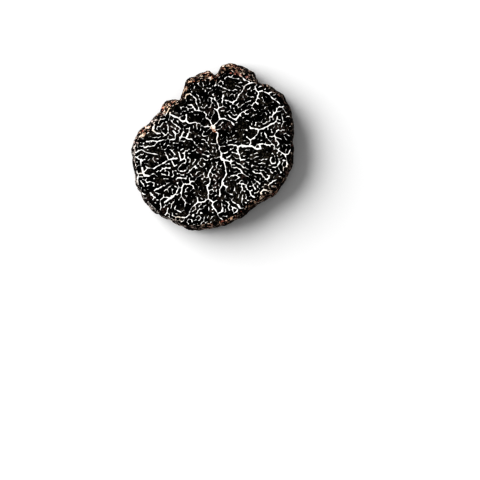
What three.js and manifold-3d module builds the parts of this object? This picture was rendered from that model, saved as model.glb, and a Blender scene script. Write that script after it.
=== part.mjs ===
// A thick slice of black truffle, as cut: an upper and a lower cut face with the warty bark round
// the edge between them. It lies on its lower face. Millimetres, +Z up; the origin is on the lower
// face, under the middle of the slice. The bark is raised from a smooth wall by a formula, and the
// pale veins stand a little proud of the dark flesh of the upper face as low ribs.
import * as THREE from "three";
import { mergeVertices } from "three/addons/utils/BufferGeometryUtils.js";
import Module from "manifold-3d";

// The slice
const THICKNESS = 7.5;
const GIRTH_HEIGHT = 3.2; // the height at which the wall stands out furthest
const LOWER_INSET = 0.9; // how far the lower cut's edge lies inside the girth
const LEAST_UPPER_INSET = 0.35;
const WALL_BEND = 1.8; // the power with which the wall curves away from its girth
const EDGE_SMOOTHING = 2.4; // the upper cut's edge follows the girth averaged over this much each way
const WALL_COLUMNS = 212;
const WALL_ROWS = 10;

// The girth, seen from above: four lobes, with a deep crease behind the middle of the slice
const GIRTH = [
  [22.4, 4.8], [22.3, 7.9], [21.1, 11.4], [19.3, 14.9], [17.4, 15.8], [15.8, 17.5],
  [13.3, 18.3], [11.3, 20.5], [8.0, 21.9], [4.3, 22.9], [2.3, 22.3], [0.8, 19.8],
  [-1.5, 20.8], [-4.6, 19.7], [-7.1, 18.3], [-8.1, 16.0], [-9.2, 13.4], [-11.2, 13.1],
  [-13.5, 12.1], [-14.5, 10.0], [-17.3, 7.7], [-20.2, 4.4], [-21.6, 1.2], [-22.5, -2.6],
  [-21.9, -5.7], [-21.7, -8.7], [-20.5, -12.6], [-18.1, -16.1], [-15.0, -18.8], [-11.0, -21.2],
  [-6.4, -22.8], [-1.5, -22.6], [3.4, -21.6], [7.3, -19.7], [10.7, -17.2], [14.6, -14.8],
  [18.2, -12.3], [20.3, -8.6], [21.9, -5.2], [22.5, -1.4], [22.3, 1.8],
];

// How far the upper cut's edge lies inside the girth, by the direction from the middle in degrees.
// It is widest where the wall leans outwards and shows its bark from above.
const UPPER_INSETS = [
  [-180, 1.1], [-165, 0.7], [-140, 0.6], [-115, 0.9], [-90, 1.1], [-70, 1.0], [-52, 1.9],
  [-36, 2.3], [-22, 1.1], [0, 0.8], [30, 0.9], [52, 1.3], [70, 2.1], [82, 1.9], [96, 1.5],
  [112, 1.0], [128, 1.3], [150, 1.6], [165, 1.5],
];

// The warts of the bark
const WART_PITCH = 3.1;
const WART_ROWS = 3;
const WART_HEIGHT = 0.95;
const WART_SLOPE_WIDTH = 2.1; // the run over which a wart's sides rise to its full height
const WART_FOOT = 0.35; // the share of the height that lies inside the smooth wall
const WART_JITTER = 0.3; // of the pitch

// The veins: ribs with a roof-shaped section, sunk into the upper cut face. The fine ones are a
// net of uneven meshes, larger than life, with many of its threads missing.
const RIB_SINK = 0.3;
const MAIN_RIB = { width: 0.75, height: 0.3, startShare: 0.8, endShare: 0.4 };
const FINE_RIB = { width: 0.5, height: 0.22, startShare: 0.8, endShare: 0.8 };
const NET_PITCH = 3.05;
const NET_JITTER = 0.5; // of a mesh's side
const NET_KEPT = 0.5; // the share of the net's threads that are there
const NET_OVERRUN = 0.12; // how far a thread runs on past each of its ends
const NET_EVENNESS = 0.8; // the least height of a thread, as a share of the most
const NET_CLEAR_OF_EDGE = 0.9;
const NET_CLEAR_OF_MAIN = 0.55;
const NET_REACH = 40; // the net is laid out this far from the middle, then cut off at the edge
const NET_ROW_SHARE = 1.5; // the step from row to row, as a share of a mesh's side
const KNOT_SIDES = 7;
const KNOT_TOP_SHARE = 0.5; // of a knot's radius
const KNOT_FOOT_SHARE = 1.3;

// The numbers that stand for chance. Each thing that is left to it has a whole number of its own,
// and those of the net's cells are counted along rows of CHANCE_ROW cells.
const CHANCE_STEP = 12.9898;
const CHANCE_START = 4.1414;
const CHANCE_SPREAD = 43758.5453;
const CHANCE_ROW = 128;
const CORNER_CHANCES_FROM = 1000;
const CORNER_CHANCES = 4;
const THREAD_CHANCES_FROM = 90000;
const THREAD_CHANCES = 6;

const MERGE_DISTANCE = 1e-4;

// The main veins, as lines across the upper face
const MAIN_VEINS = [
  // from the pale knot, to the left and up
  [[0, 5.4], [-2.8, 5.8], [-5, 6.7], [-7.4, 7.1], [-8.9, 7.2], [-9.8, 8.2], [-12, 9.3]],
  [[-0.2, 6.2], [-1.9, 8.2], [-2.2, 9.4], [-3.5, 9.9], [-4.7, 12.3], [-4.8, 13.5], [-6.4, 15]],
  [[-6.4, 15], [-7.7, 14.5], [-7.8, 13.4]],
  // from the knot, up and to the right
  [[0.5, 5.9], [1.9, 7.7], [1.7, 8.8], [1.2, 10.3], [2.6, 11.3], [2.6, 13.2], [2.4, 14.8]],
  [[2.6, 13.2], [5.6, 12.6], [6.7, 13.6], [8.4, 15.8], [9, 17.2], [10.6, 17.7]],
  [[1.9, 7.7], [3.4, 7.7], [5, 7.2], [6.2, 6.1]],
  [[5, 7.2], [5.7, 8], [4.3, 9.2]],
  [[5.7, 8], [6.5, 7.5], [7.6, 9.4], [9.1, 10.3]],
  // the trunk that runs down from the knot
  [[0.4, 4.8], [1.2, 3.5], [1.1, 1.5], [1.8, -0.6], [2.5, -2], [2.7, -3.6]],
  [[2.7, -3.6], [3.4, -5.8], [3.7, -7.7], [2.6, -9.3], [2.6, -10.3], [1.9, -13.4]],
  [[2.7, -3.6], [4.6, -4], [5.3, -5.8], [7.1, -5.9], [8.7, -8]],
  [[2.7, -3.6], [3.7, -3.2], [4.9, -2.2]],
  [[2.6, -10.2], [3.6, -11], [3.7, -12.6], [5.4, -13.3]],
  // the second trunk, beside it on the left
  [[0.1, -5.6], [-1.4, -8.2], [-0.6, -9.4], [-1.5, -10.9], [-1.3, -14.6]],
  [[-1.3, -14.6], [-4.4, -15.7], [-6.1, -16.8], [-6.5, -18.3], [-7.7, -19.6], [-10.6, -19.4]],
  [[-1.3, -14.6], [0, -15.6], [0.2, -17], [1.5, -18.3], [1.7, -19.3]],
  [[1.5, -18.3], [2.8, -17.9], [2.9, -17.1]],
  [[-4.4, -15.7], [-4.4, -14.3]],
  // right of the middle
  [[4, 0.5], [5.2, 0.7], [6.6, 0.2], [7.2, -0.5], [8.2, 0.3], [10.3, 0.4], [11.9, -0.4], [13.4, -0.3]],
  [[10.3, 0.4], [10.4, 2], [12.1, 3.3], [12.9, 4.9], [14.6, 5.5], [17.7, 7.1], [18.8, 6.3]],
  [[12.9, 4.9], [11, 5.3], [10.3, 6]],
  [[7.2, -0.5], [7.1, -1.6], [7.6, -2.6], [7.6, -3.8]],
  [[13.4, -0.3], [13.2, 0.8], [14.5, 0.8], [16.4, 0.5]],
  [[14.6, 3.6], [15.1, 2.6], [17.7, 0.4], [18, -0.7], [20, -2.1], [20.6, -3.7], [20.7, -5.2]],
  [[18.4, 0.6], [17.5, 2], [17.2, 3.6]],
  [[18.1, -3.2], [18.7, -4.3], [18, -5.5], [18.7, -6.9]],
  // the upper right
  [[9.6, 11.6], [10.4, 12.1], [12.2, 12.9], [12.8, 15.3], [12, 16.9]],
  [[12.8, 15.3], [15.7, 15.1], [17.2, 13.4], [18.4, 12.3]],
  [[16.4, 8.4], [18, 10.5], [18.7, 11.3], [20, 10.2]],
  // the left
  [[-18.9, -5.3], [-18.2, -5.8], [-16.6, -5.9], [-14.4, -5], [-12.3, -3.5], [-10.2, -3.1]],
  [[-12.3, -3.5], [-13.2, -1.7]],
  [[-11, -3.2], [-10.9, -1.7]],
  [[-12, -3.6], [-11.1, -5.3], [-10.3, -5.2]],
  [[-19.8, -5.8], [-19.6, -7.2], [-17.9, -8.1], [-16.7, -7.6], [-15.2, -8.4]],
  [[-9.6, -1.3], [-9, -3.9], [-8, -3], [-7.9, -1.1]],
  [[-14.6, 4.7], [-13.4, 3.2], [-12.5, 4.3], [-12.6, 5.7]],
  [[-13.4, 3.2], [-14.3, 2], [-16, 1.7], [-18.6, 1.5]],
  [[-12.2, 7.6], [-11, 6.4], [-9, 5]],
  // the lower left
  [[-14.9, -15], [-14, -14.2], [-11.4, -13.9], [-10, -11.8], [-8.8, -11.6], [-8.2, -10.5], [-5.3, -10.7]],
  [[-8.8, -11.6], [-9, -13.8], [-7.8, -15.7]],
  [[-9, -13.8], [-9.7, -15]],
  // the upper edge and the lower right
  [[1, 18.4], [0.7, 17.1], [1.5, 15.7]],
  [[1, 18.1], [3.5, 16.4]],
  [[4.6, 19.4], [7.2, 19]],
  [[5, -15], [6.3, -15.8], [7.6, -17]],
  [[10.2, -12.2], [10.7, -13.4], [12, -14.2]],
  [[14.4, -11.8], [13.4, -12.4], [13.7, -13.2]],
];

// The swellings where veins meet, each [x, y, radius]
const KNOTS = [
  [0.1, 5.4, 1.05], [2.7, -3.5, 0.6], [-1.4, -10.8, 0.5], [2.6, -10, 0.55],
  [8.3, 0.4, 0.55], [-19.6, -7.1, 0.8], [-12.2, -14, 0.6], [-16.6, 4.4, 0.75],
  [-10.7, -8.8, 0.5], [-5.7, -19.2, 0.65], [13.4, -0.1, 0.5], [-1, -3.2, 0.6],
];

const BARK_AND_FLESH = new THREE.MeshStandardMaterial({
  color: 0x1d1713,
  roughness: 0.72,
  metalness: 0,
});

const wasm = await Module();
wasm.setup();

// A repeatable number from 0 to 1 for each whole number.
function chance(index) {
  const value = Math.sin(index * CHANCE_STEP + CHANCE_START) * CHANCE_SPREAD;
  return value - Math.floor(value);
}

function solidOf(geometry) {
  const bare = geometry.clone();
  bare.deleteAttribute("normal");
  bare.deleteAttribute("uv");
  const merged = mergeVertices(bare, MERGE_DISTANCE);
  return new wasm.Manifold(
    new wasm.Mesh({
      numProp: 3,
      vertProperties: new Float32Array(merged.attributes.position.array),
      triVerts: new Uint32Array(merged.index.array),
    }),
  );
}

function geometryOf(solid) {
  const { vertProperties, triVerts } = solid.getMesh();
  const geometry = new THREE.BufferGeometry();
  geometry.setAttribute("position", new THREE.BufferAttribute(vertProperties, 3));
  geometry.setIndex(new THREE.BufferAttribute(triVerts, 1));
  geometry.computeVertexNormals();
  return geometry;
}

// The girth as even steps round the slice, each with its direction and its reach from the middle.
function girthColumns() {
  const curve = new THREE.CatmullRomCurve3(
    GIRTH.map(([x, y]) => new THREE.Vector3(x, y, 0)),
    true,
    "centripetal",
  );
  const length = curve.getLength();
  const points = curve.getSpacedPoints(WALL_COLUMNS).slice(0, WALL_COLUMNS);
  const box = new THREE.Box3().setFromPoints(points);
  const middle = box.getCenter(new THREE.Vector3());
  const columns = points.map((point, i) => ({
    angle: Math.atan2(point.y - middle.y, point.x - middle.x),
    reach: Math.hypot(point.x - middle.x, point.y - middle.y),
    along: (length * i) / WALL_COLUMNS,
  }));
  return { columns, length, middle };
}

// A value read from [degrees, value] pairs that run once round, eased from one pair to the next.
function aroundAt(pairs, degrees) {
  const closed = [...pairs, [pairs[0][0] + 360, pairs[0][1]]];
  const next = closed.findIndex(([at]) => at > degrees);
  const [from, low] = closed[next - 1];
  const [to, high] = closed[next];
  return THREE.MathUtils.lerp(low, high, THREE.MathUtils.smoothstep(degrees, from, to));
}

// The reach of the upper cut's edge in each column.
function upperReaches({ columns, length }) {
  const step = length / WALL_COLUMNS;
  const window = Math.round(EDGE_SMOOTHING / step);
  return columns.map(({ angle, reach }, i) => {
    let sum = 0;
    for (let k = -window; k <= window; k++) {
      sum += columns[(i + k + WALL_COLUMNS) % WALL_COLUMNS].reach;
    }
    const smoothed = sum / (2 * window + 1);
    const inset = aroundAt(UPPER_INSETS, THREE.MathUtils.radToDeg(angle));
    return Math.min(smoothed - inset, reach - LEAST_UPPER_INSET);
  });
}

// The tips of the warts, on the wall rolled out flat: [along the girth, height].
function wartTips(length) {
  const around = Math.round(length / WART_PITCH);
  const pitch = length / around;
  const tips = [];
  for (let row = 0; row < WART_ROWS; row++) {
    for (let i = 0; i < around; i++) {
      const index = 2 * (row * around + i);
      const stagger = row % 2 === 0 ? 0 : 0.5;
      tips.push([
        (i + stagger + WART_JITTER * (2 * chance(index) - 1)) * pitch,
        ((row + 0.5 + WART_JITTER * (2 * chance(index + 1) - 1)) * THICKNESS) / WART_ROWS,
      ]);
    }
  }
  return tips;
}

// How far the bark stands out at a place on the wall: a pyramid round each tip, with valleys
// where two are equally near.
function wartRise(tips, length, along, height) {
  let nearest = Infinity;
  let second = Infinity;
  for (const [tipAlong, tipHeight] of tips) {
    const turn = Math.abs(along - tipAlong) % length;
    const distance = Math.hypot(Math.min(turn, length - turn), height - tipHeight);
    if (distance < nearest) {
      second = nearest;
      nearest = distance;
    } else if (distance < second) {
      second = distance;
    }
  }
  const rise = Math.min(1, (second - nearest) / WART_SLOPE_WIDTH);
  return WART_HEIGHT * (rise - WART_FOOT);
}

// The smooth wall's reach at a height, between the lower edge, the girth and the upper edge.
function wallReach(girth, upper, height) {
  const above = height >= GIRTH_HEIGHT;
  const share = above
    ? (height - GIRTH_HEIGHT) / (THICKNESS - GIRTH_HEIGHT)
    : (GIRTH_HEIGHT - height) / GIRTH_HEIGHT;
  const inset = above ? girth - upper : LOWER_INSET;
  return girth - inset * share ** WALL_BEND;
}

// The slice without its veins: a cylinder whose wall is moved out to the bark.
function bodyGeometry(girth) {
  const { columns, length } = girth;
  const uppers = upperReaches(girth);
  const tips = wartTips(length);
  const geometry = new THREE.CylinderGeometry(1, 1, THICKNESS, WALL_COLUMNS, WALL_ROWS);
  geometry.rotateX(Math.PI / 2);
  geometry.translate(0, 0, THICKNESS / 2);
  const position = geometry.attributes.position;
  for (let i = 0; i < position.count; i++) {
    const x = position.getX(i);
    const y = position.getY(i);
    const isMiddleOfFace = Math.round(Math.hypot(x, y)) === 0;
    if (isMiddleOfFace) continue;
    const turn = (Math.atan2(y, x) / (2 * Math.PI) + 1) % 1;
    const column = Math.round(turn * WALL_COLUMNS) % WALL_COLUMNS;
    const height = position.getZ(i);
    const { angle, reach, along } = columns[column];
    const radius =
      wallReach(reach, uppers[column], height) + wartRise(tips, length, along, height);
    position.setXY(i, radius * Math.cos(angle), radius * Math.sin(angle));
  }
  return geometry;
}

// A low ridge along a line on the upper face. Each station of the line has a foot on each side,
// sunk into the face, and a crest.
function ribGeometry(line, { width, height, startShare, endShare }) {
  const points = line.map(([x, y]) => new THREE.Vector2(x, y));
  const last = points.length - 1;
  const vertices = [];
  points.forEach((point, i) => {
    const before = points[Math.max(i - 1, 0)];
    const after = points[Math.min(i + 1, last)];
    const side = after.clone().sub(before).normalize();
    side.set(-side.y, side.x);
    const share = i === 0 ? startShare : i === last ? endShare : 1;
    const rise = height * share;
    // The feet lie RIB_SINK below the face, on the lines of the ridge's two slopes.
    const foot = (width / 2) * share * (1 + RIB_SINK / rise);
    const base = THICKNESS - RIB_SINK;
    vertices.push(point.x + side.x * foot, point.y + side.y * foot, base);
    vertices.push(point.x - side.x * foot, point.y - side.y * foot, base);
    vertices.push(point.x, point.y, THICKNESS + rise);
  });
  const faces = [0, 1, 2, 3 * last, 3 * last + 2, 3 * last + 1];
  for (let i = 0; i < last; i++) {
    for (let k = 0; k < 3; k++) {
      const a = 3 * i + k;
      const b = 3 * i + ((k + 1) % 3);
      faces.push(a, a + 3, b, b, a + 3, b + 3);
    }
  }
  const geometry = new THREE.BufferGeometry();
  geometry.setAttribute("position", new THREE.Float32BufferAttribute(vertices, 3));
  geometry.setIndex(faces);
  return geometry;
}

// A flat-topped swelling where veins meet.
function knotGeometry([x, y, radius]) {
  const rise = MAIN_RIB.height;
  const geometry = new THREE.CylinderGeometry(
    radius * KNOT_TOP_SHARE, radius * KNOT_FOOT_SHARE, rise + RIB_SINK, KNOT_SIDES,
  );
  geometry.rotateX(Math.PI / 2);
  geometry.translate(x, y, THICKNESS + (rise - RIB_SINK) / 2);
  return geometry;
}

function distanceToLine([x, y], line) {
  let least = Infinity;
  for (let i = 1; i < line.length; i++) {
    const [ax, ay] = line[i - 1];
    const [bx, by] = line[i];
    const share = THREE.MathUtils.clamp(
      ((x - ax) * (bx - ax) + (y - ay) * (by - ay)) / ((bx - ax) ** 2 + (by - ay) ** 2), 0, 1,
    );
    least = Math.min(least, Math.hypot(x - ax - share * (bx - ax), y - ay - share * (by - ay)));
  }
  return least;
}

// The reach of the upper edge in a direction, with its warts.
function edgeReachAt(edge, angle) {
  const nearest = edge.reduce((best, point) => {
    const off = Math.abs(Math.atan2(Math.sin(point.angle - angle), Math.cos(point.angle - angle)));
    return off < best.off ? { off, radius: point.radius } : best;
  }, { off: Infinity, radius: 0 });
  return nearest.radius;
}

// A cell of the net as one whole number.
function cellCount(column, row) {
  return CHANCE_ROW * (row + CHANCE_ROW / 2) + column + CHANCE_ROW / 2;
}

// A corner of the net: the upper (way 1) or lower (way -1) corner of one cell of a honeycomb,
// moved a little by chance.
function netCorner(column, row, way) {
  const side = NET_PITCH / Math.sqrt(3);
  const index = CORNER_CHANCES_FROM + CORNER_CHANCES * cellCount(column, row) + way;
  const turn = 2 * Math.PI * chance(index);
  const shift = NET_JITTER * side * chance(index + 2);
  return [
    (column + row / 2) * NET_PITCH + shift * Math.cos(turn),
    (NET_ROW_SHARE * row + way) * side + shift * Math.sin(turn),
  ];
}

// The fine net's threads, each from one corner to the next and a little further at both ends.
function netThreads(edge) {
  const steps = Math.ceil(NET_REACH / NET_PITCH);
  const isOnFace = (point) =>
    Math.hypot(...point) < edgeReachAt(edge, Math.atan2(point[1], point[0])) - NET_CLEAR_OF_EDGE;
  const threads = [];
  for (let row = -steps; row <= steps; row++) {
    for (let column = -steps; column <= steps; column++) {
      const upper = netCorner(column, row, 1);
      const lowers = [[column - 1, row + 2], [column, row + 1], [column - 1, row + 1]];
      lowers.forEach(([lowerColumn, lowerRow], i) => {
        const lower = netCorner(lowerColumn, lowerRow, -1);
        if (!isOnFace(upper) || !isOnFace(lower)) return;
        const index = THREAD_CHANCES_FROM + THREAD_CHANCES * cellCount(column, row) + 2 * i;
        if (chance(index) > NET_KEPT) return;
        const middle = [(upper[0] + lower[0]) / 2, (upper[1] + lower[1]) / 2];
        if (MAIN_VEINS.some((line) => distanceToLine(middle, line) < NET_CLEAR_OF_MAIN)) return;
        const run = Math.hypot(lower[0] - upper[0], lower[1] - upper[1]);
        const ends = [[upper, lower], [lower, upper]].map(([near, far]) => [
          near[0] + ((near[0] - far[0]) * NET_OVERRUN) / run,
          near[1] + ((near[1] - far[1]) * NET_OVERRUN) / run,
        ]);
        const evenness = THREE.MathUtils.lerp(NET_EVENNESS, 1, chance(index + 1));
        threads.push({ line: ends, height: FINE_RIB.height * evenness });
      });
    }
  }
  return threads;
}

function truffleSlice() {
  const girth = girthColumns();
  const body = bodyGeometry(girth);
  const uppers = upperReaches(girth);
  const edge = girth.columns.map(({ angle }, i) => ({ angle, radius: uppers[i] }));
  const pieces = [
    body,
    ...MAIN_VEINS.map((line) => ribGeometry(line, MAIN_RIB)),
    ...KNOTS.map(knotGeometry),
    ...netThreads(edge).map(({ line, height }) => ribGeometry(line, { ...FINE_RIB, height })),
  ];
  const solid = wasm.Manifold.union(pieces.map(solidOf));
  const mesh = new THREE.Mesh(geometryOf(solid), BARK_AND_FLESH);
  mesh.name = "truffle_slice";
  return mesh;
}

const slice = new THREE.Group();
slice.name = "black_truffle_slice";
slice.add(truffleSlice());

export default slice;
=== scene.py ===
"""A thick slice of black truffle, as cut, lying on a white table and seen from straight above.

The slice is one grown thing. Two meshes stand for its one solid: the dark flesh, with a cut face above and
below, and the bark round its edge. The pale veins of the flesh are a field over the slice, made of listed
veins and a fine net that settles round them, and the same field lifts them and colours them. The warts of
the bark are raised by Geometry Nodes. Sizes are in metres.
"""

import logging
import math
from dataclasses import dataclass, field
from enum import Enum
from typing import Any, Optional

import bpy
import numpy as np
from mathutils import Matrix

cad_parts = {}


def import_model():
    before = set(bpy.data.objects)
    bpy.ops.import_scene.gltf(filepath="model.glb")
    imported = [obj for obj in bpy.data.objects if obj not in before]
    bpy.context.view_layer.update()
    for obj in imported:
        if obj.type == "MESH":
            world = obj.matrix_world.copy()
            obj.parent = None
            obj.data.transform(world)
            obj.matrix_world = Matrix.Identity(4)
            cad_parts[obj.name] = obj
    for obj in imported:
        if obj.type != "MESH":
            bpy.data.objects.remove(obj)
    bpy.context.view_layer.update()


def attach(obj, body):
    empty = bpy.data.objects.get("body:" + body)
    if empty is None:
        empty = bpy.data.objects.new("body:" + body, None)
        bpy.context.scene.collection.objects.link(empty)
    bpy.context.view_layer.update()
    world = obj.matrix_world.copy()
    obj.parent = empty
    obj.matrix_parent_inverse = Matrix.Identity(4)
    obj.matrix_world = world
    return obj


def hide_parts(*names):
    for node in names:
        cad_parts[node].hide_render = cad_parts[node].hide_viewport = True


MM = 0.001
NODE = "truffle_slice"
BODY = "root"
BAKE_MAP = "OFBake"

Colour = tuple[float, float, float]
Line = tuple[float, tuple[tuple[float, float], ...]]

log = logging.getLogger("truffle")


class Side(Enum):
    """The two cut faces of the slice."""

    UPPER = 1
    LOWER = -1


# The outline of the slice


@dataclass
class Outline:
    """The smooth form of the slice: its girth seen from above, and how its wall leans in from there.

    The girth is a closed curve through a few points, in millimetres until it is sampled. The upper cut's
    edge lies inside it by a share of the bark's width, which changes with the direction from the middle.
    """

    thickness: float = 7.5 * MM
    girth_height: float = 3.2 * MM
    lower_inset: float = 0.9 * MM
    wall_share: float = 0.55
    wall_bend: float = 1.8
    edge_smoothing: float = 2.4 * MM
    columns: int = 2048
    samples: int = 64
    girth_mm: tuple[tuple[float, float], ...] = (
        (22.4, 4.8), (22.3, 7.9), (21.1, 11.4), (19.3, 14.9), (17.4, 15.8), (15.8, 17.5),
        (13.3, 18.3), (11.3, 20.5), (8.0, 21.9), (4.3, 22.9), (2.3, 22.3), (0.8, 19.8),
        (-1.5, 20.8), (-4.6, 19.7), (-7.1, 18.3), (-8.1, 16.0), (-9.2, 13.4), (-11.2, 13.1),
        (-13.5, 12.1), (-14.5, 10.0), (-17.3, 7.7), (-20.2, 4.4), (-21.6, 1.2), (-22.5, -2.6),
        (-21.9, -5.7), (-21.7, -8.7), (-20.5, -12.6), (-18.1, -16.1), (-15.0, -18.8), (-11.0, -21.2),
        (-6.4, -22.8), (-1.5, -22.6), (3.4, -21.6), (7.3, -19.7), (10.7, -17.2), (14.6, -14.8),
        (18.2, -12.3), (20.3, -8.6), (21.9, -5.2), (22.5, -1.4), (22.3, 1.8),
    )
    # How wide the bark shows from above, by direction
    bark_widths_mm: tuple[tuple[float, float], ...] = (
        (-180, 0.6), (-165, 0.5), (-150, 0.4), (-130, 0.5), (-120, 0.8), (-102, 1.0), (-90, 1.3),
        (-73, 1.2), (-62, 1.4), (-52, 2.1), (-42, 1.8), (-33, 1.9), (-22, 0.9), (0, 0.7), (25, 0.6),
        (45, 0.9), (55, 1.2), (63, 2.1), (80, 2.2), (88, 1.2), (93, 2.0), (100, 1.7), (110, 1.2),
        (122, 0.9), (130, 1.5), (140, 1.3), (150, 1.2), (158, 2.0), (168, 1.9), (175, 1.1),
    )
    # How far the smooth wall stands out past the girth, under the warts, by direction
    swells_mm: tuple[tuple[float, float], ...] = (
        (-180, 0.6), (-175, 0.35), (-165, 0.25), (-155, 0.5), (-145, 0.1), (-135, 0.3), (-125, 0.3),
        (-115, -0.2), (-100, 0.3), (45, 0.3), (55, -0.3), (65, 0.8), (95, 0.85), (105, 0.45), (115, 0.65),
        (125, 0.3), (135, 0.8), (145, 0.55), (155, -0.2), (165, 0.4), (175, 0.9),
    )
    angles: np.ndarray = field(init=False)
    girths: np.ndarray = field(init=False)
    uppers: np.ndarray = field(init=False)
    fleshes: np.ndarray = field(init=False)

    def __post_init__(self) -> None:
        """Samples the girth and the upper edge once, as reaches by direction."""
        points = self._curve()
        low, high = points.min(0), points.max(0)
        points = points - (low + high) / 2
        angles = np.arctan2(points[:, 1], points[:, 0])
        reaches = np.hypot(points[:, 0], points[:, 1])
        steps = np.hypot(*(np.roll(points, -1, axis=0) - points).T)
        window = round(self.edge_smoothing / steps.mean())
        smooth = sum(np.roll(reaches, k) for k in range(-window, window + 1)) / (2 * window + 1)
        widths = around(self.bark_widths_mm, angles) * MM
        fleshes = np.minimum(smooth, reaches) - widths
        uppers = fleshes + (1 - self.wall_share) * widths
        order = np.argsort(angles)
        self.angles = angles[order]
        self.girths = reaches[order] + around(self.swells_mm, self.angles) * MM
        self.uppers = uppers[order]
        self.fleshes = fleshes[order]

    def _curve(self) -> np.ndarray:
        """Runs a centripetal Catmull-Rom curve through the girth's points, evenly spaced along it.

        Returns:
            The points of the curve, in metres.
        """
        knots = np.array(self.girth_mm) * MM
        before, after, beyond = (np.roll(knots, places, axis=0) for places in (1, -1, -2))
        gaps = [np.sqrt(np.hypot(*(b - a).T))[:, None] for a, b in
                ((before, knots), (knots, after), (after, beyond))]
        t1, t2, t3 = gaps[0], gaps[0] + gaps[1], gaps[0] + gaps[1] + gaps[2]
        rows = []
        for share in np.linspace(0, 1, self.samples, endpoint=False):
            t = t1 + share * gaps[1]
            a1 = (t1 - t) / t1 * before + t / t1 * knots
            a2 = (t2 - t) / gaps[1] * knots + (t - t1) / gaps[1] * after
            a3 = (t3 - t) / gaps[2] * after + (t - t2) / gaps[2] * beyond
            b1 = (t2 - t) / t2 * a1 + t / t2 * a2
            b2 = (t3 - t) / (t3 - t1) * a2 + (t - t1) / (t3 - t1) * a3
            rows.append((t2 - t) / gaps[1] * b1 + (t - t1) / gaps[1] * b2)
        dense = np.stack(rows, axis=1).reshape(-1, 2)
        closed = np.vstack([dense, dense[:1]])
        run = np.concatenate([[0], np.cumsum(np.hypot(*np.diff(closed, axis=0).T))])
        even = np.linspace(0, run[-1], self.columns, endpoint=False)
        return np.stack([np.interp(even, run, closed[:, i]) for i in (0, 1)], axis=1)

    def girth(self, angle: np.ndarray) -> np.ndarray:
        """Gives the girth's reach from the middle in each direction."""
        return np.interp(angle, self.angles, self.girths, period=2 * math.pi)

    def upper(self, angle: np.ndarray) -> np.ndarray:
        """Gives the reach of the upper cut's edge in each direction."""
        return np.interp(angle, self.angles, self.uppers, period=2 * math.pi)

    def flesh(self, angle: np.ndarray) -> np.ndarray:
        """Gives the reach of the flesh on the upper cut in each direction."""
        return np.interp(angle, self.angles, self.fleshes, period=2 * math.pi)

    def lower(self, angle: np.ndarray) -> np.ndarray:
        """Gives the reach of the lower cut's edge in each direction."""
        return self.girth(angle) - self.lower_inset

    def wall(self, angle: np.ndarray, height: np.ndarray) -> np.ndarray:
        """Gives the smooth wall's reach.

        Args:
            angle: directions from the middle, in radians.
            height: heights above the lower face.

        Returns:
            The reach at each pair of direction and height.
        """
        girth = self.girth(angle)
        up = np.clip((height - self.girth_height) / (self.thickness - self.girth_height), 0, 1)
        down = np.clip((self.girth_height - height) / self.girth_height, 0, 1)
        inset = (girth - self.upper(angle)) * up**self.wall_bend + self.lower_inset * down**self.wall_bend
        return girth - inset


def around(pairs: tuple[tuple[float, float], ...], angle: np.ndarray) -> np.ndarray:
    """Reads values that are given once round the slice.

    Args:
        pairs: a direction in degrees and its value, in rising order from -180.
        angle: the directions wanted, in radians.

    Returns:
        The value in each direction, eased from one pair to the next.
    """
    degrees, values = np.array(pairs, float).T
    return np.interp(np.degrees(angle), degrees, values, period=360)


# The veins


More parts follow.
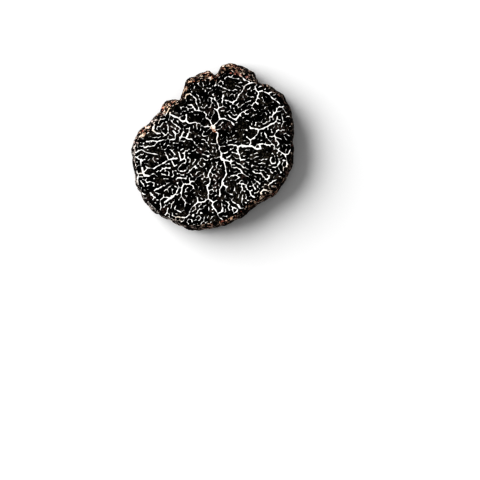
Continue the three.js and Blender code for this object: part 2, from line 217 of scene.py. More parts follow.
@dataclass
class VeinField:
    """The pale veins, as a field over the slice: how deep inside a vein a place lies, in metres.

    The main veins and the knots where they meet are listed one by one. The fine net runs along the crests of
    a pattern, half stripes and half honeycomb. It is grown from noise, a few steps only, so that it stays
    short and broken, and it is drawn to the main veins while it grows, so that the net keeps off them.
    """

    span: float = 51.2 * MM
    cells: int = 512
    pitch: float = 1.05 * MM
    growth: float = 1.4
    honeycomb: float = 1.5
    steps: int = 7
    time_step: float = 0.6
    first_noise: float = 0.3
    hold: float = 0.3
    thinning: float = 0.32 * MM
    least_width: float = 0.19 * MM
    thread: float = 0.13 * MM
    net_width: float = 0.19 * MM
    least_crest: float = 0.20
    dotting: float = 0.10
    full_crest: float = 1.00
    most_crest: float = 2.0
    thread_rise: float = 4.0
    least_height: float = 0.5
    least_bend: float = 0.001
    smoothing: float = 0.1
    contrast: float = 1.5
    nearby: float = 1.5
    breaks: float = 0.9
    break_size: float = 1.0 * MM
    wander: float = 0.06 * MM
    wander_size: float = 0.8 * MM
    most_thinned: float = 0.7
    dull_reach: float = 1.4
    dull_calm: float = 0.5
    dull_thinning: float = 0.6
    seed: int = 11
    # Each main vein: its width, and its points across the face, in millimetres
    veins_mm: tuple[Line, ...] = (
        (0.52, ((-0.5, 5.7), (-2.7, 5.7), (-3.7, 6.5), (-5.0, 6.9), (-6.7, 6.6), (-7.5, 7.4), (-8.7, 7.1),
                (-9.5, 8.0), (-10.6, 8.5), (-12.0, 9.1), (-12.0, 9.6))),
        (0.42, ((-7.5, 7.4), (-7.4, 9.1))),
        (0.42, ((-9.5, 8.2), (-8.3, 8.9))),
        (0.52, ((-0.4, 6.5), (-0.9, 7.5), (-2.1, 8.3), (-1.8, 9.1), (-2.7, 9.9), (-3.6, 10.1), (-4.2, 11.4),
                (-4.8, 12.6), (-4.8, 13.6), (-5.7, 14.4), (-6.5, 15.0), (-7.5, 14.5), (-7.8, 13.6))),
        (0.42, ((-7.0, 11.7), (-6.0, 11.8), (-5.3, 11.1), (-4.9, 10.3))),
        (0.52, ((0.4, 6.2), (1.1, 6.8), (1.9, 7.8), (3.1, 8.0), (4.2, 7.5), (5.1, 7.1), (6.0, 6.0))),
        (0.42, ((1.9, 7.8), (1.5, 9.6), (1.2, 10.3), (1.7, 11.1), (2.8, 11.3), (2.6, 12.7), (2.7, 13.4),
                (2.9, 14.5))),
        (0.34, ((1.2, 10.3), (0.4, 10.7))),
        (0.34, ((1.7, 11.1), (1.2, 12.4), (0.4, 13.4), (-0.6, 13.8))),
        (0.42, ((4.2, 9.1), (5.5, 8.0), (6.5, 7.5), (7.0, 8.5), (7.7, 9.4), (9.1, 10.3))),
        (0.42, ((3.4, 13.1), (5.0, 12.7), (5.7, 12.5), (6.6, 13.2), (6.7, 13.7), (7.3, 14.7), (8.2, 15.5),
                (8.8, 16.9), (9.1, 17.3), (10.0, 17.7), (12.0, 18.1))),
        (0.42, ((11.7, 17.0), (12.1, 15.9), (12.8, 15.0), (12.4, 13.7), (12.0, 12.7), (11.2, 12.0),
                (11.0, 11.4))),
        (0.34, ((12.0, 12.7), (12.6, 12.0))),
        (0.42, ((9.5, 11.4), (10.1, 11.9), (11.0, 11.6))),
        (0.42, ((13.1, 15.5), (14.3, 15.5), (15.6, 14.9), (16.6, 13.7), (17.1, 13.3), (18.1, 12.7),
                (18.7, 12.1))),
        (0.42, ((15.6, 15.0), (16.6, 15.5), (16.3, 16.5))),
        (0.42, ((16.2, 8.1), (16.7, 9.0), (17.6, 9.8), (18.1, 10.9), (18.6, 11.3), (19.5, 10.9),
                (20.0, 10.1), (20.7, 9.5))),
        (0.52, ((11.8, 5.2), (12.9, 4.9), (14.3, 5.2), (15.6, 6.1), (16.6, 6.5), (17.7, 7.1), (18.1, 8.5))),
        (0.34, ((10.3, 6.0), (10.5, 5.3), (11.8, 5.2))),
        (0.34, ((17.7, 7.1), (18.9, 6.5))),
        (0.52, ((12.9, 4.9), (12.5, 3.7), (11.5, 2.7), (10.5, 1.9), (10.6, 1.0), (10.1, 0.4))),
        (0.34, ((9.5, 2.8), (10.5, 1.9))),
        (0.42, ((3.9, 0.5), (5.0, 0.7), (6.4, 0.5), (6.9, 0.0))),
        (0.75, ((6.9, -0.1), (7.6, 0.3), (8.0, 0.5), (9.3, 0.2), (10.8, 0.3), (12.1, -0.5), (13.4, -0.5),
                (13.0, 0.7), (13.9, 0.9))),
        (0.42, ((13.9, 0.9), (15.3, 0.5), (16.7, 0.7))),
        (0.42, ((14.6, 3.7), (15.0, 2.7), (16.1, 1.5), (16.9, 0.5), (17.7, -0.4))),
        (0.52, ((17.7, -0.4), (18.7, -1.2), (19.9, -2.0), (21.0, -2.0))),
        (0.34, ((21.0, -2.0), (21.5, -1.0), (22.0, -0.3))),
        (0.42, ((18.4, 5.0), (17.2, 3.5), (17.6, 2.2), (18.4, 0.9), (17.9, 0.2))),
        (0.52, ((20.2, -2.2), (20.6, -3.5), (20.8, -5.2), (21.0, -7.0))),
        (0.42, ((20.6, -3.8), (19.7, -3.8))),
        (0.42, ((7.6, 0.3), (6.8, -0.9), (7.1, -1.7), (7.6, -2.9), (7.7, -3.7), (8.8, -3.5))),
        (0.34, ((5.5, -1.6), (7.0, -1.8))),
        (0.52, ((0.5, 4.3), (1.4, 3.8), (1.1, 2.5), (1.2, 1.2), (1.8, 0.2), (1.7, -0.7), (2.4, -1.8))),
        (0.80, ((2.4, -1.8), (2.3, -3.2), (3.0, -3.7), (4.1, -3.8))),
        (0.52, ((3.0, -3.7), (3.3, -4.8), (3.6, -6.3), (3.8, -7.5))),
        (0.62, ((3.8, -7.5), (3.2, -8.6), (2.6, -9.6), (2.6, -10.6))),
        (0.52, ((2.6, -10.6), (1.9, -11.9), (1.9, -13.9))),
        (0.34, ((2.4, -1.8), (3.9, -1.5))),
        (0.42, ((3.7, -3.3), (4.9, -2.4))),
        (0.42, ((2.6, -10.4), (3.5, -11.0), (3.7, -12.6), (5.4, -13.4))),
        (0.52, ((4.1, -3.8), (5.0, -4.2), (5.2, -5.7), (6.7, -5.8), (7.7, -6.3), (8.1, -7.1), (8.8, -7.8))),
        (0.42, ((5.0, -4.2), (6.0, -3.8))),
        (0.42, ((7.5, -4.8), (8.7, -5.7), (9.9, -6.3))),
        (0.52, ((0.0, -5.4), (-0.8, -6.6), (-1.4, -8.0), (-0.8, -9.1), (-0.9, -10.1), (-1.7, -11.1))),
        (0.42, ((-1.7, -11.1), (-1.3, -12.6), (-1.3, -14.5), (-2.6, -15.4), (-4.2, -15.5), (-5.9, -16.9),
                (-6.4, -17.8), (-6.7, -18.8), (-7.5, -19.7), (-9.0, -19.7), (-10.5, -19.6), (-11.5, -19.1))),
        (0.42, ((-10.5, -19.6), (-10.4, -20.5))),
        (0.42, ((-4.2, -15.5), (-4.4, -14.2))),
        (0.42, ((-1.3, -14.5), (0.0, -15.5), (-0.2, -16.4), (0.3, -17.2), (1.1, -18.3), (1.7, -19.7),
                (2.7, -20.3))),
        (0.34, ((0.0, -15.5), (1.2, -14.9))),
        (0.42, ((1.6, -18.5), (2.7, -18.0), (2.8, -17.0))),
        (0.42, ((-8.7, -9.6), (-8.2, -10.4), (-8.7, -11.4), (-9.8, -11.6), (-10.1, -12.7), (-11.0, -13.7))),
        (0.85, ((-11.0, -13.7), (-12.1, -14.4), (-13.1, -15.2))),
        (0.42, ((-12.5, -14.1), (-13.8, -14.1), (-14.7, -14.8), (-14.8, -16.0))),
        (0.34, ((-13.8, -14.1), (-13.9, -13.2))),
        (0.42, ((-8.7, -11.4), (-8.9, -13.7), (-8.2, -14.7), (-7.7, -15.6))),
        (0.42, ((-8.9, -13.8), (-9.6, -14.8))),
        (0.42, ((-8.2, -10.4), (-6.5, -10.4), (-5.4, -11.0))),
        (0.42, ((-6.5, -10.4), (-5.9, -9.6))),
        (0.34, ((-9.8, -11.6), (-10.7, -10.9))),
        (0.42, ((-19.0, -5.2), (-18.3, -5.8), (-16.7, -6.0), (-15.4, -5.3), (-13.8, -4.5), (-12.5, -3.6))),
        (0.62, ((-12.5, -3.6), (-11.5, -3.3), (-10.1, -3.2))),
        (0.34, ((-12.5, -3.5), (-12.9, -2.4), (-13.3, -1.5))),
        (0.42, ((-11.0, -3.0), (-10.8, -1.9), (-11.6, -1.0))),
        (0.42, ((-11.6, -3.8), (-11.1, -4.8), (-10.8, -5.4), (-10.1, -5.2))),
        (0.80, ((-19.8, -5.8), (-19.6, -7.1), (-19.2, -8.0), (-17.9, -8.1))),
        (0.42, ((-17.9, -8.1), (-16.6, -7.4), (-15.6, -8.2))),
        (0.42, ((-18.3, -5.8), (-19.4, -7.2))),
        (0.52, ((-21.5, -6.6), (-21.1, -7.5), (-19.8, -7.4))),
        (0.34, ((-20.9, -7.8), (-21.0, -8.9))),
        (0.42, ((-14.8, -6.8), (-13.9, -6.0), (-12.1, -5.9))),
        (0.42, ((-10.1, -6.0), (-9.5, -6.7), (-8.3, -6.9), (-7.3, -6.3), (-7.2, -5.5))),
        (0.42, ((-6.5, -6.8), (-5.7, -5.8), (-5.0, -5.2), (-4.5, -6.0))),
        (0.42, ((-9.5, -1.5), (-9.2, -3.0), (-9.0, -3.9), (-8.0, -3.2), (-7.9, -1.4))),
        (0.75, ((-15.9, 8.0), (-16.2, 7.0), (-16.6, 5.8), (-16.9, 4.7), (-15.7, 3.8), (-14.9, 3.8))),
        (0.55, ((-12.3, 11.7), (-12.5, 10.4), (-13.1, 9.3))),
        (0.42, ((-14.8, 5.0), (-13.9, 3.8), (-13.3, 3.2), (-12.6, 4.2), (-12.5, 5.7), (-13.1, 7.3))),
        (0.42, ((-11.8, 7.6), (-11.1, 6.6), (-10.1, 6.0), (-9.0, 5.0))),
        (0.60, ((-11.1, 4.5), (-10.5, 3.8), (-10.6, 2.2), (-12.0, 2.0))),
        (0.42, ((-8.3, 4.3), (-8.7, 3.3), (-9.3, 2.2), (-9.5, 1.5))),
        (0.42, ((-6.6, 5.3), (-6.7, 4.2), (-7.5, 2.4), (-5.9, 2.0), (-5.0, 1.2))),
        (0.42, ((-18.6, 1.5), (-16.9, 1.7), (-15.4, 1.5), (-14.1, 2.0))),
        (0.42, ((1.0, 19.3), (0.9, 18.2), (0.5, 17.1))),
        (0.42, ((1.1, 17.8), (2.1, 16.9), (3.4, 16.3))),
        (0.34, ((3.4, 16.3), (5.7, 15.7))),
        (0.42, ((4.4, 19.8), (5.7, 19.2), (7.3, 19.1))),
        (0.42, ((6.7, 20.5), (8.0, 19.8), (8.8, 18.8), (10.1, 18.3))),
        (0.42, ((7.8, 20.8), (8.7, 20.1), (9.4, 19.6))),
        (0.42, ((18.1, -3.2), (18.7, -4.2), (18.1, -5.2), (18.5, -6.3), (19.0, -6.8))),
        (0.42, ((16.4, -2.9), (15.9, -3.8), (16.4, -4.7), (17.4, -4.5), (17.5, -3.3))),
        (0.42, ((11.1, -6.8), (12.0, -7.4), (13.4, -7.3), (14.1, -8.3), (14.9, -9.1), (15.7, -8.6),
                (15.3, -7.8))),
        (0.42, ((11.6, -9.1), (12.6, -9.9), (13.1, -10.5))),
        (0.42, ((10.8, -9.6), (11.7, -11.4))),
        (0.60, ((10.3, -12.4), (10.8, -13.6), (12.1, -14.5))),
        (0.70, ((13.6, -13.7), (13.4, -12.7), (14.1, -12.0), (15.1, -12.1))),
        (0.42, ((14.1, -12.0), (14.4, -10.3))),
        (0.42, ((15.6, -10.5), (16.9, -9.6), (17.9, -9.1))),
        (0.42, ((6.7, -10.2), (8.3, -10.3), (9.5, -10.9))),
        (0.34, ((4.9, -8.2), (6.4, -7.8), (7.5, -8.5), (6.2, -9.3), (4.9, -9.3))),
        (0.34, ((5.7, -14.2), (5.1, -14.9), (6.0, -15.7), (7.0, -16.2), (7.7, -17.2), (8.7, -17.1),
                (9.5, -16.7))),
        (0.42, ((5.2, -16.7), (6.9, -17.4), (6.7, -18.0), (5.8, -18.6))),
        (0.42, ((3.8, -15.2), (4.6, -16.0), (4.2, -17.0))),
        (0.55, ((-20.4, -12.6), (-19.0, -13.3))),
        (0.60, ((-18.4, -15.4), (-16.4, -17.2), (-15.8, -18.0))),
        (0.50, ((-14.2, -19.4), (-12.9, -18.6), (-12.6, -17.2))),
        (0.42, ((-13.2, -19.4), (-11.8, -20.0), (-10.4, -20.6))),
        (0.50, ((-21.2, -8.4), (-21.0, -10.4))),
        (0.50, ((-20.4, -9.4), (-19.6, -10.4))),
        (0.42, ((-18.8, -10.0), (-17.6, -9.7), (-16.4, -10.1))),
        (0.34, ((-16.4, -12.2), (-15.2, -11.6), (-13.6, -10.6))),
        (0.55, ((-10.4, -9.0), (-9.6, -8.6), (-7.6, -8.8))),
        (0.50, ((-10.4, -16.4), (-10.8, -17.4), (-9.0, -18.2))),
        (0.55, ((-17.4, -13.4), (-16.0, -14.3))),
        (0.50, ((-15.6, -12.9), (-14.6, -13.2))),
        (0.42, ((-19.3, -0.2), (-16.5, 0.4), (-15.6, 1.3))),
        (0.42, ((-21.5, -1.5), (-20.0, -0.8), (-18.7, -1.5), (-15.6, -2.1))),
        (0.42, ((-21.8, -2.7), (-19.7, -3.9))),
        (0.42, ((-20.3, -3.3), (-20.0, -6.4))),
        (0.34, ((19.2, 9.3), (19.6, 7.1))),
    )
    # Each knot: its place and its radius, in millimetres
    knots_mm: tuple[tuple[float, float, float], ...] = (
        (0.0, 5.5, 0.70), (0.3, 4.6, 0.45), (-1.4, -10.8, 0.35), (2.7, -10.1, 0.35), (-5.6, -19.2, 0.35),
        (-1.4, -2.6, 0.30), (8.3, 0.3, 0.40), (2.7, -3.4, 0.40), (-11.5, -13.9, 0.35),
    )
    # Where the fine net thins out and the flesh is duller: place and radius, in millimetres
    dull_mm: tuple[tuple[float, float, float], ...] = (
        (8.0, 6.3, 1.5), (5.0, 17.5, 1.4), (-14.8, -1.5, 1.3), (-17.5, -6.9, 0.9), (-15.3, -9.4, 1.2),
        (14.0, -1.8, 1.4), (-11.3, 8.9, 0.9), (5.0, -9.5, 1.1), (-11.2, -5.6, 0.8), (10.5, 3.9, 1.2),
        (7.0, 3.2, 0.6), (-2.3, -13.0, 0.8),
    )
    depth: np.ndarray = field(init=False)
    dullness: np.ndarray = field(init=False)

    def __post_init__(self) -> None:
        """Grows the field once."""
        axis = (np.arange(self.cells) + 0.5) * self.span / self.cells - self.span / 2
        x, y = np.meshgrid(axis, axis, indexing="ij")
        rng = np.random.default_rng(self.seed)
        wander = self.wander * np.maximum(self._noise(rng, self.wander_size), -self.most_thinned)
        main = self._main_depth(x, y) + wander
        self.dullness = self._dullness(x, y)
        net = self._grow(rng, main > 0, 1 - self.dull_calm * self.dullness)
        crest = self._crest_share(net, self.least_crest + self.dotting * 2 * y / self.span)
        width = self.thread * np.clip(self.thread_rise * crest, 0, 1) + self.net_width * crest**self.contrast
        width = width * (1 - self.dull_thinning * self.dullness)
        width = width * (1 + self.breaks * self._noise(rng, self.break_size))
        self.depth = np.maximum(width / 2 - self._from_crest(net), main)

    def _main_depth(self, x: np.ndarray, y: np.ndarray) -> np.ndarray:
        """Measures how deep inside the nearest main vein or knot each place lies.

        Args:
            x: places across the slice.
            y: places along the slice.

        Returns:
            The depth at each place, below zero outside the veins.
        """
        depth = np.full(x.shape, -self.span)
        for width, line in self.veins_mm:
            half = max(width * MM - self.thinning, self.least_width) / 2
            for (ax, ay), (bx, by) in zip(line, line[1:]):
                run_x, run_y = (bx - ax) * MM, (by - ay) * MM
                from_x, from_y = x - ax * MM, y - ay * MM
                share = np.clip((from_x * run_x + from_y * run_y) / (run_x**2 + run_y**2), 0, 1)
                away = np.hypot(from_x - share * run_x, from_y - share * run_y)
                np.maximum(depth, half - away, out=depth)
        for at_x, at_y, radius in self.knots_mm:
            np.maximum(depth, radius * MM - np.hypot(x - at_x * MM, y - at_y * MM), out=depth)
        return depth

    def _dullness(self, x: np.ndarray, y: np.ndarray) -> np.ndarray:
        """Gives 1 in the middle of each dull patch and 0 outside them all.

        Args:
            x: places across the slice.
            y: places along the slice.

        Returns:
            The dullness of each place.
        """
        dullness = np.zeros(x.shape)
        for at_x, at_y, radius in self.dull_mm:
            away = np.hypot(x - at_x * MM, y - at_y * MM) / (radius * MM)
            np.maximum(dullness, np.clip(self.dull_reach - away, 0, 1), out=dullness)
        return dullness

    def _waves(self, size: float) -> np.ndarray:
        """Gives how often each wave of the grid's spectrum repeats over a length.

        Args:
            size: the length.

        Returns:
            The number of repeats, for each wave.
        """
        across = np.fft.fftfreq(self.cells, self.span / self.cells)
        along = np.fft.rfftfreq(self.cells, self.span / self.cells)
        return np.hypot(across[:, None], along[None, :]) * size

    def _filter(self, values: np.ndarray, factors: np.ndarray) -> np.ndarray:
        """Multiplies a grid's spectrum by a factor for each wave."""
        return np.fft.irfft2(np.fft.rfft2(values) * factors, s=values.shape)

    def _blur(self, values: np.ndarray, size: float) -> np.ndarray:
        """Blurs a grid with a soft spot of the given size."""
        return self._filter(values, np.exp(-2 * (math.pi * self._waves(size)) ** 2))

    def _noise(self, rng: np.random.Generator, size: float) -> np.ndarray:
        """Makes soft noise of unit spread with spots of about the given size, that repeats over the span.

        Args:
            rng: gives the raw noise.
            size: the spots' size.

        Returns:
            The noise at each cell.
        """
        noise = rng.standard_normal((self.cells, self.cells))
        noise = self._filter(noise, np.exp(-2 * self._waves(size) ** 2))
        return noise / noise.std()

    def _grow(self, rng: np.random.Generator, held: np.ndarray, calm: np.ndarray) -> np.ndarray:
        """Grows stripes of the net's pitch out of noise, by the Swift-Hohenberg rule.

        Args:
            rng: gives the first noise.
            held: where the pattern is drawn towards its crest, on the main veins.
            calm: a factor of 1 or less, which stunts the pattern in the dull patches.

        Returns:
            The pattern, with its crests on the veins.
        """
        damping = 1 / (1 + self.time_step * (1 - self._waves(self.pitch) ** 2) ** 2)
        crest = 2 * math.sqrt(self.growth / 3)
        net = self.first_noise * rng.standard_normal((self.cells, self.cells))
        for _ in range(self.steps):
            push = self.growth * net - self.honeycomb * net**2 - net**3
            net = self._filter(net + self.time_step * push, damping)
            net = np.where(held, self.hold * crest + (1 - self.hold) * net, net) * calm
        return net

    def _crest_share(self, net: np.ndarray, least: np.ndarray) -> np.ndarray:
        """Gives how fully the pattern stands at its crest, against the height that it has round there.

        Args:
            net: the pattern.
            least: the share of that height from which on a crest counts.

        Returns:
            From 1 on a full crest down to 0 between the crests, and more where crests meet.
        """
        height = np.sqrt(2 * np.maximum(self._blur(net**2, self.nearby * self.pitch), 0))
        height = np.maximum(height, self.least_height * np.median(height))
        return np.clip((net / height - least) / (self.full_crest - least), 0, self.most_crest)

    def _from_crest(self, net: np.ndarray) -> np.ndarray:
        """Measures how far each place lies from the nearest crest line, by the pattern's slope and bend.

        Args:
            net: the pattern.

        Returns:
            The distance in metres, which is right near a crest and only large elsewhere.
        """
        step = self.span / self.cells
        smooth = self._blur(net, self.smoothing * self.pitch)
        slope_x, slope_y = np.gradient(smooth, step)
        bend_xx, bend_xy = np.gradient(slope_x, step)
        bend_yy = np.gradient(slope_y, step)[1]
        half = (bend_xx - bend_yy) / 2
        turn = np.arctan2(bend_xy, half) / 2
        across = np.abs(slope_y * np.cos(turn) - slope_x * np.sin(turn))
        bend = np.hypot(half, bend_xy) - (bend_xx + bend_yy) / 2
        return across / np.maximum(bend, self.least_bend * bend.max())

    def read(self, values: np.ndarray, x: np.ndarray, y: np.ndarray) -> np.ndarray:
        """Reads one of the field's grids at places on the face, blended between its cells.

        Args:
            values: the grid to read, depth or dullness.
            x: places across the slice.
            y: places along the slice.

        Returns:
            The value at each place.
        """
        across = np.clip((x / self.span + 0.5) * self.cells - 0.5, 0, self.cells - 1.001)
        along = np.clip((y / self.span + 0.5) * self.cells - 0.5, 0, self.cells - 1.001)
        i, j = across.astype(int), along.astype(int)
        u, v = across - i, along - j
        near = values[i, j] * (1 - u) + values[i + 1, j] * u
        far = values[i, j + 1] * (1 - u) + values[i + 1, j + 1] * u
        return near * (1 - v) + far * v


# Node trees


class Tree:
    """A node tree of any kind, with short ways to add and join its nodes."""

    def __init__(self, tree: bpy.types.NodeTree) -> None:
        """Wraps a tree that exists."""
        self.tree = tree

    def node(self, kind: str, inputs: Optional[dict[Any, Any]] = None, **settings: Any) -> bpy.types.Node:
        """Adds a node.

        Args:
            kind: the node's type name.
            inputs: for a socket's name or number, the socket to join to it or the value to set.
            settings: the node's own properties.

        Returns:
            The node.
        """
        made = self.tree.nodes.new(kind)
        for name, value in settings.items():
            setattr(made, name, value)
        for name, value in (inputs or {}).items():
            if isinstance(value, bpy.types.NodeSocket):
                self.tree.links.new(value, made.inputs[name])
            else:
                made.inputs[name].default_value = value
        return made

    def math(self, operation: str, *values: Any, clamp: bool = False) -> bpy.types.NodeSocket:
        """Adds a Math node on sockets or numbers and gives its result."""
        return self.node("ShaderNodeMath", dict(enumerate(values)), operation=operation,
                         use_clamp=clamp).outputs[0]

    def vector(self, operation: str, *values: Any) -> bpy.types.NodeSocket:
        """Adds a Vector Math node on sockets or vectors and gives its result."""
        return self.node("ShaderNodeVectorMath", dict(enumerate(values)), operation=operation).outputs[0]

    def scaled(self, vector: bpy.types.NodeSocket, factor: Any) -> bpy.types.NodeSocket:
        """Multiplies a vector by a number."""
        return self.node("ShaderNodeVectorMath", {0: vector, "Scale": factor}, operation="SCALE").outputs[0]

    def ramp(self, value: Any, low: Any, high: Any,
             to: tuple[float, float] = (0.0, 1.0)) -> bpy.types.NodeSocket:
        """Eases a value from 0 at low to 1 at high, or between the two given limits."""
        inputs = {"Value": value, "From Min": low, "From Max": high, "To Min": to[0], "To Max": to[1]}
        return self.node("ShaderNodeMapRange", inputs, interpolation_type="SMOOTHSTEP").outputs[0]

    def mix(self, share: Any, first: Any, second: Any) -> bpy.types.NodeSocket:
        """Mixes two colours, each a socket or a colour."""
        inputs = {0: share, 6: opaque(first), 7: opaque(second)}
        return self.node("ShaderNodeMix", inputs, data_type="RGBA").outputs[2]

    def node_group(self, group: bpy.types.NodeTree, inputs: dict[str, Any]) -> Any:
        """Places a shader group and gives its outputs."""
        return self.node("ShaderNodeGroup", inputs, node_tree=group).outputs


def opaque(colour: Any) -> Any:
    """Gives a colour its alpha, and leaves a socket as it is."""
    return (*colour, 1.0) if isinstance(colour, tuple) else colour


def new_group(kind: str, name: str, inputs: dict[str, Any], outputs: dict[str, str]) -> tuple[Tree, Any, Any]:
    """Makes an empty node group with its sockets.

    Args:
        kind: ShaderNodeTree or GeometryNodeTree.
        name: the group's name.
        inputs: for each input its default number, or the name of its socket type.
        outputs: for each output the name of its socket type.

    Returns:
        The tree, its input node's outputs and its output node's inputs.
    """
    group = bpy.data.node_groups.new(name, kind)
    for label, value in inputs.items():
        is_type = isinstance(value, str)
        made = group.interface.new_socket(label, in_out="INPUT",
                                          socket_type=value if is_type else "NodeSocketFloat")
        if not is_type:
            made.default_value = value
    for label, value in outputs.items():
        group.interface.new_socket(label, in_out="OUTPUT", socket_type=value)
    tree = Tree(group)
    return tree, tree.node("NodeGroupInput").outputs, tree.node("NodeGroupOutput").inputs


def mottle_group() -> bpy.types.NodeTree:
    """Makes the group that spreads soft-edged spots over a surface.

    Returns:
        The group, with a Mask that is 1 above the level, and Lines that are 1 where the noise crosses it.
    """
    inputs = {"Coordinates": "NodeSocketVector", "Spot Size": 1.0 * MM, "Detail": 3.0, "Level": 0.5,
              "Softness": 0.1, "Line Core": 0.4}
    tree, given, wanted = new_group("ShaderNodeTree", "Mottle", inputs,
                                    {"Mask": "NodeSocketFloat", "Lines": "NodeSocketFloat"})
    scale = tree.math("DIVIDE", 1.0, given["Spot Size"])
    noise = tree.node("ShaderNodeTexNoise", {"Vector": given["Coordinates"], "Scale": scale,
                                             "Detail": given["Detail"]}).outputs["Fac"]
    low = tree.math("SUBTRACT", given["Level"], given["Softness"])
    high = tree.math("ADD", given["Level"], given["Softness"])
    tree.tree.links.new(tree.ramp(noise, low, high), wanted["Mask"])
    away = tree.math("ABSOLUTE", tree.math("SUBTRACT", noise, given["Level"]))
    core = tree.math("MULTIPLY", given["Softness"], given["Line Core"])
    tree.tree.links.new(tree.ramp(away, given["Softness"], core), wanted["Lines"])
    return tree.tree


def edge_group() -> bpy.types.NodeTree:
    """Makes the group for coordinates that stretch a texture along the slice's edge.

    Returns:
        The group, whose Coordinates run round the slice, slowed by its Stretch, and across its edge.
    """
    inputs = {"Position": "NodeSocketVector", "Radius": 20.0 * MM, "Stretch": 3.0, "Drop Share": -1.4}
    tree, given, wanted = new_group("ShaderNodeTree", "Edge Coordinates", inputs,
                                    {"Coordinates": "NodeSocketVector"})
    flat = tree.vector("MULTIPLY", given["Position"], (1.0, 1.0, 0.0))
    reach = tree.node("ShaderNodeVectorMath", {0: flat}, operation="LENGTH").outputs["Value"]
    height = tree.node("ShaderNodeSeparateXYZ", {0: given["Position"]}).outputs["Z"]
    ring = tree.scaled(tree.vector("NORMALIZE", flat), tree.math("DIVIDE", given["Radius"], given["Stretch"]))
    run = tree.math("MULTIPLY_ADD", height, given["Drop Share"], reach)
    across = tree.node("ShaderNodeCombineXYZ", {"Z": run}).outputs[0]
    tree.tree.links.new(tree.vector("ADD", ring, across), wanted["Coordinates"])
    return tree.tree


def grain_group() -> bpy.types.NodeTree:
    """Makes the group for the fine grain of a moist, cut or scaly surface.

    Returns:
        The group, with a Height in metres for a Bump node.
    """
    inputs = {"Coordinates": "NodeSocketVector", "Grain Size": 0.2 * MM, "Relief": 0.01 * MM,
              "Detail": 4.0, "Cell Share": 0.5}
    tree, given, wanted = new_group("ShaderNodeTree", "Fine Grain", inputs, {"Height": "NodeSocketFloat"})
    scale = tree.math("DIVIDE", 1.0, given["Grain Size"])
    noise = tree.node("ShaderNodeTexNoise", {"Vector": given["Coordinates"], "Scale": scale,
                                             "Detail": given["Detail"]}).outputs["Fac"]
    cells = tree.node("ShaderNodeTexVoronoi", {"Vector": given["Coordinates"], "Scale": scale},
                      feature="SMOOTH_F1").outputs["Distance"]
    both = tree.math("ADD", noise, tree.math("MULTIPLY", cells, given["Cell Share"]))
    tree.tree.links.new(tree.math("MULTIPLY", both, given["Relief"]), wanted["Height"])
    return tree.tree


@dataclass(frozen=True)
class Spots:
    """Soft-edged spots: their size, the noise level they start at, how soft and how ragged they are."""

    size: float
    level: float
    softness: float
    detail: float = 3.0


@dataclass
class Effects:
    """The shader groups that both finishes use, built once."""

    mottle: bpy.types.NodeTree = field(default_factory=mottle_group)
    edge: bpy.types.NodeTree = field(default_factory=edge_group)
    grain: bpy.types.NodeTree = field(default_factory=grain_group)

    def spots(self, tree: Tree, where: bpy.types.NodeSocket, spots: Spots,
              output: str = "Mask") -> bpy.types.NodeSocket:
        """Places the mottle group in a material.

        Args:
            tree: the material's tree.
            where: the coordinates.
            spots: what the spots are like.
            output: Mask for spots, Lines for the lines round them.

        Returns:
            The group's output.
        """
        inputs = {"Coordinates": where, "Spot Size": spots.size, "Detail": spots.detail,
                  "Level": spots.level, "Softness": spots.softness}
        return tree.node_group(self.mottle, inputs)[output]

    def bump(self, tree: Tree, where: bpy.types.NodeSocket, size: float,
             relief: float) -> bpy.types.NodeSocket:
        """Places the grain group and its Bump node in a material, and gives the normal.

        Args:
            tree: the material's tree.
            where: the coordinates.
            size: the grain's size.
            relief: how far the grain stands out.

        Returns:
            The bumped normal.
        """
        inputs = {"Coordinates": where, "Grain Size": size, "Relief": relief}
        height = tree.node_group(self.grain, inputs)["Height"]
        return tree.node("ShaderNodeBump", {"Height": height, "Distance": 1.0, "Strength": 1.0}).outputs[0]


class MaterialTree(Tree):
    """A material's node tree, with its Principled shader."""

    def __init__(self, name: str) -> None:
        """Makes the material.

        Args:
            name: the material's name.
        """
        self.material = bpy.data.materials.new(name)
        self.material.use_nodes = True
        super().__init__(self.material.node_tree)
        self.shader = self.tree.nodes["Principled BSDF"]
        self.place = self.node("ShaderNodeTexCoord").outputs["Object"]

    def attribute(self, name: str) -> bpy.types.NodeSocket:
        """Reads a number that the mesh carries."""
        return self.node("ShaderNodeAttribute", attribute_name=name).outputs["Fac"]

    def dress(self, **sockets: Any) -> bpy.types.Material:
        """Sets or joins the Principled shader's sockets.

        Args:
            sockets: for each socket, its name with spaces as underscores, and a socket or a value.

        Returns:
            The material.
        """
        for name, value in sockets.items():
            target = self.shader.inputs[name.replace("_", " ")]
            if isinstance(value, bpy.types.NodeSocket):
                self.tree.links.new(value, target)
            else:
                target.default_value = value
        return self.material


# The finishes


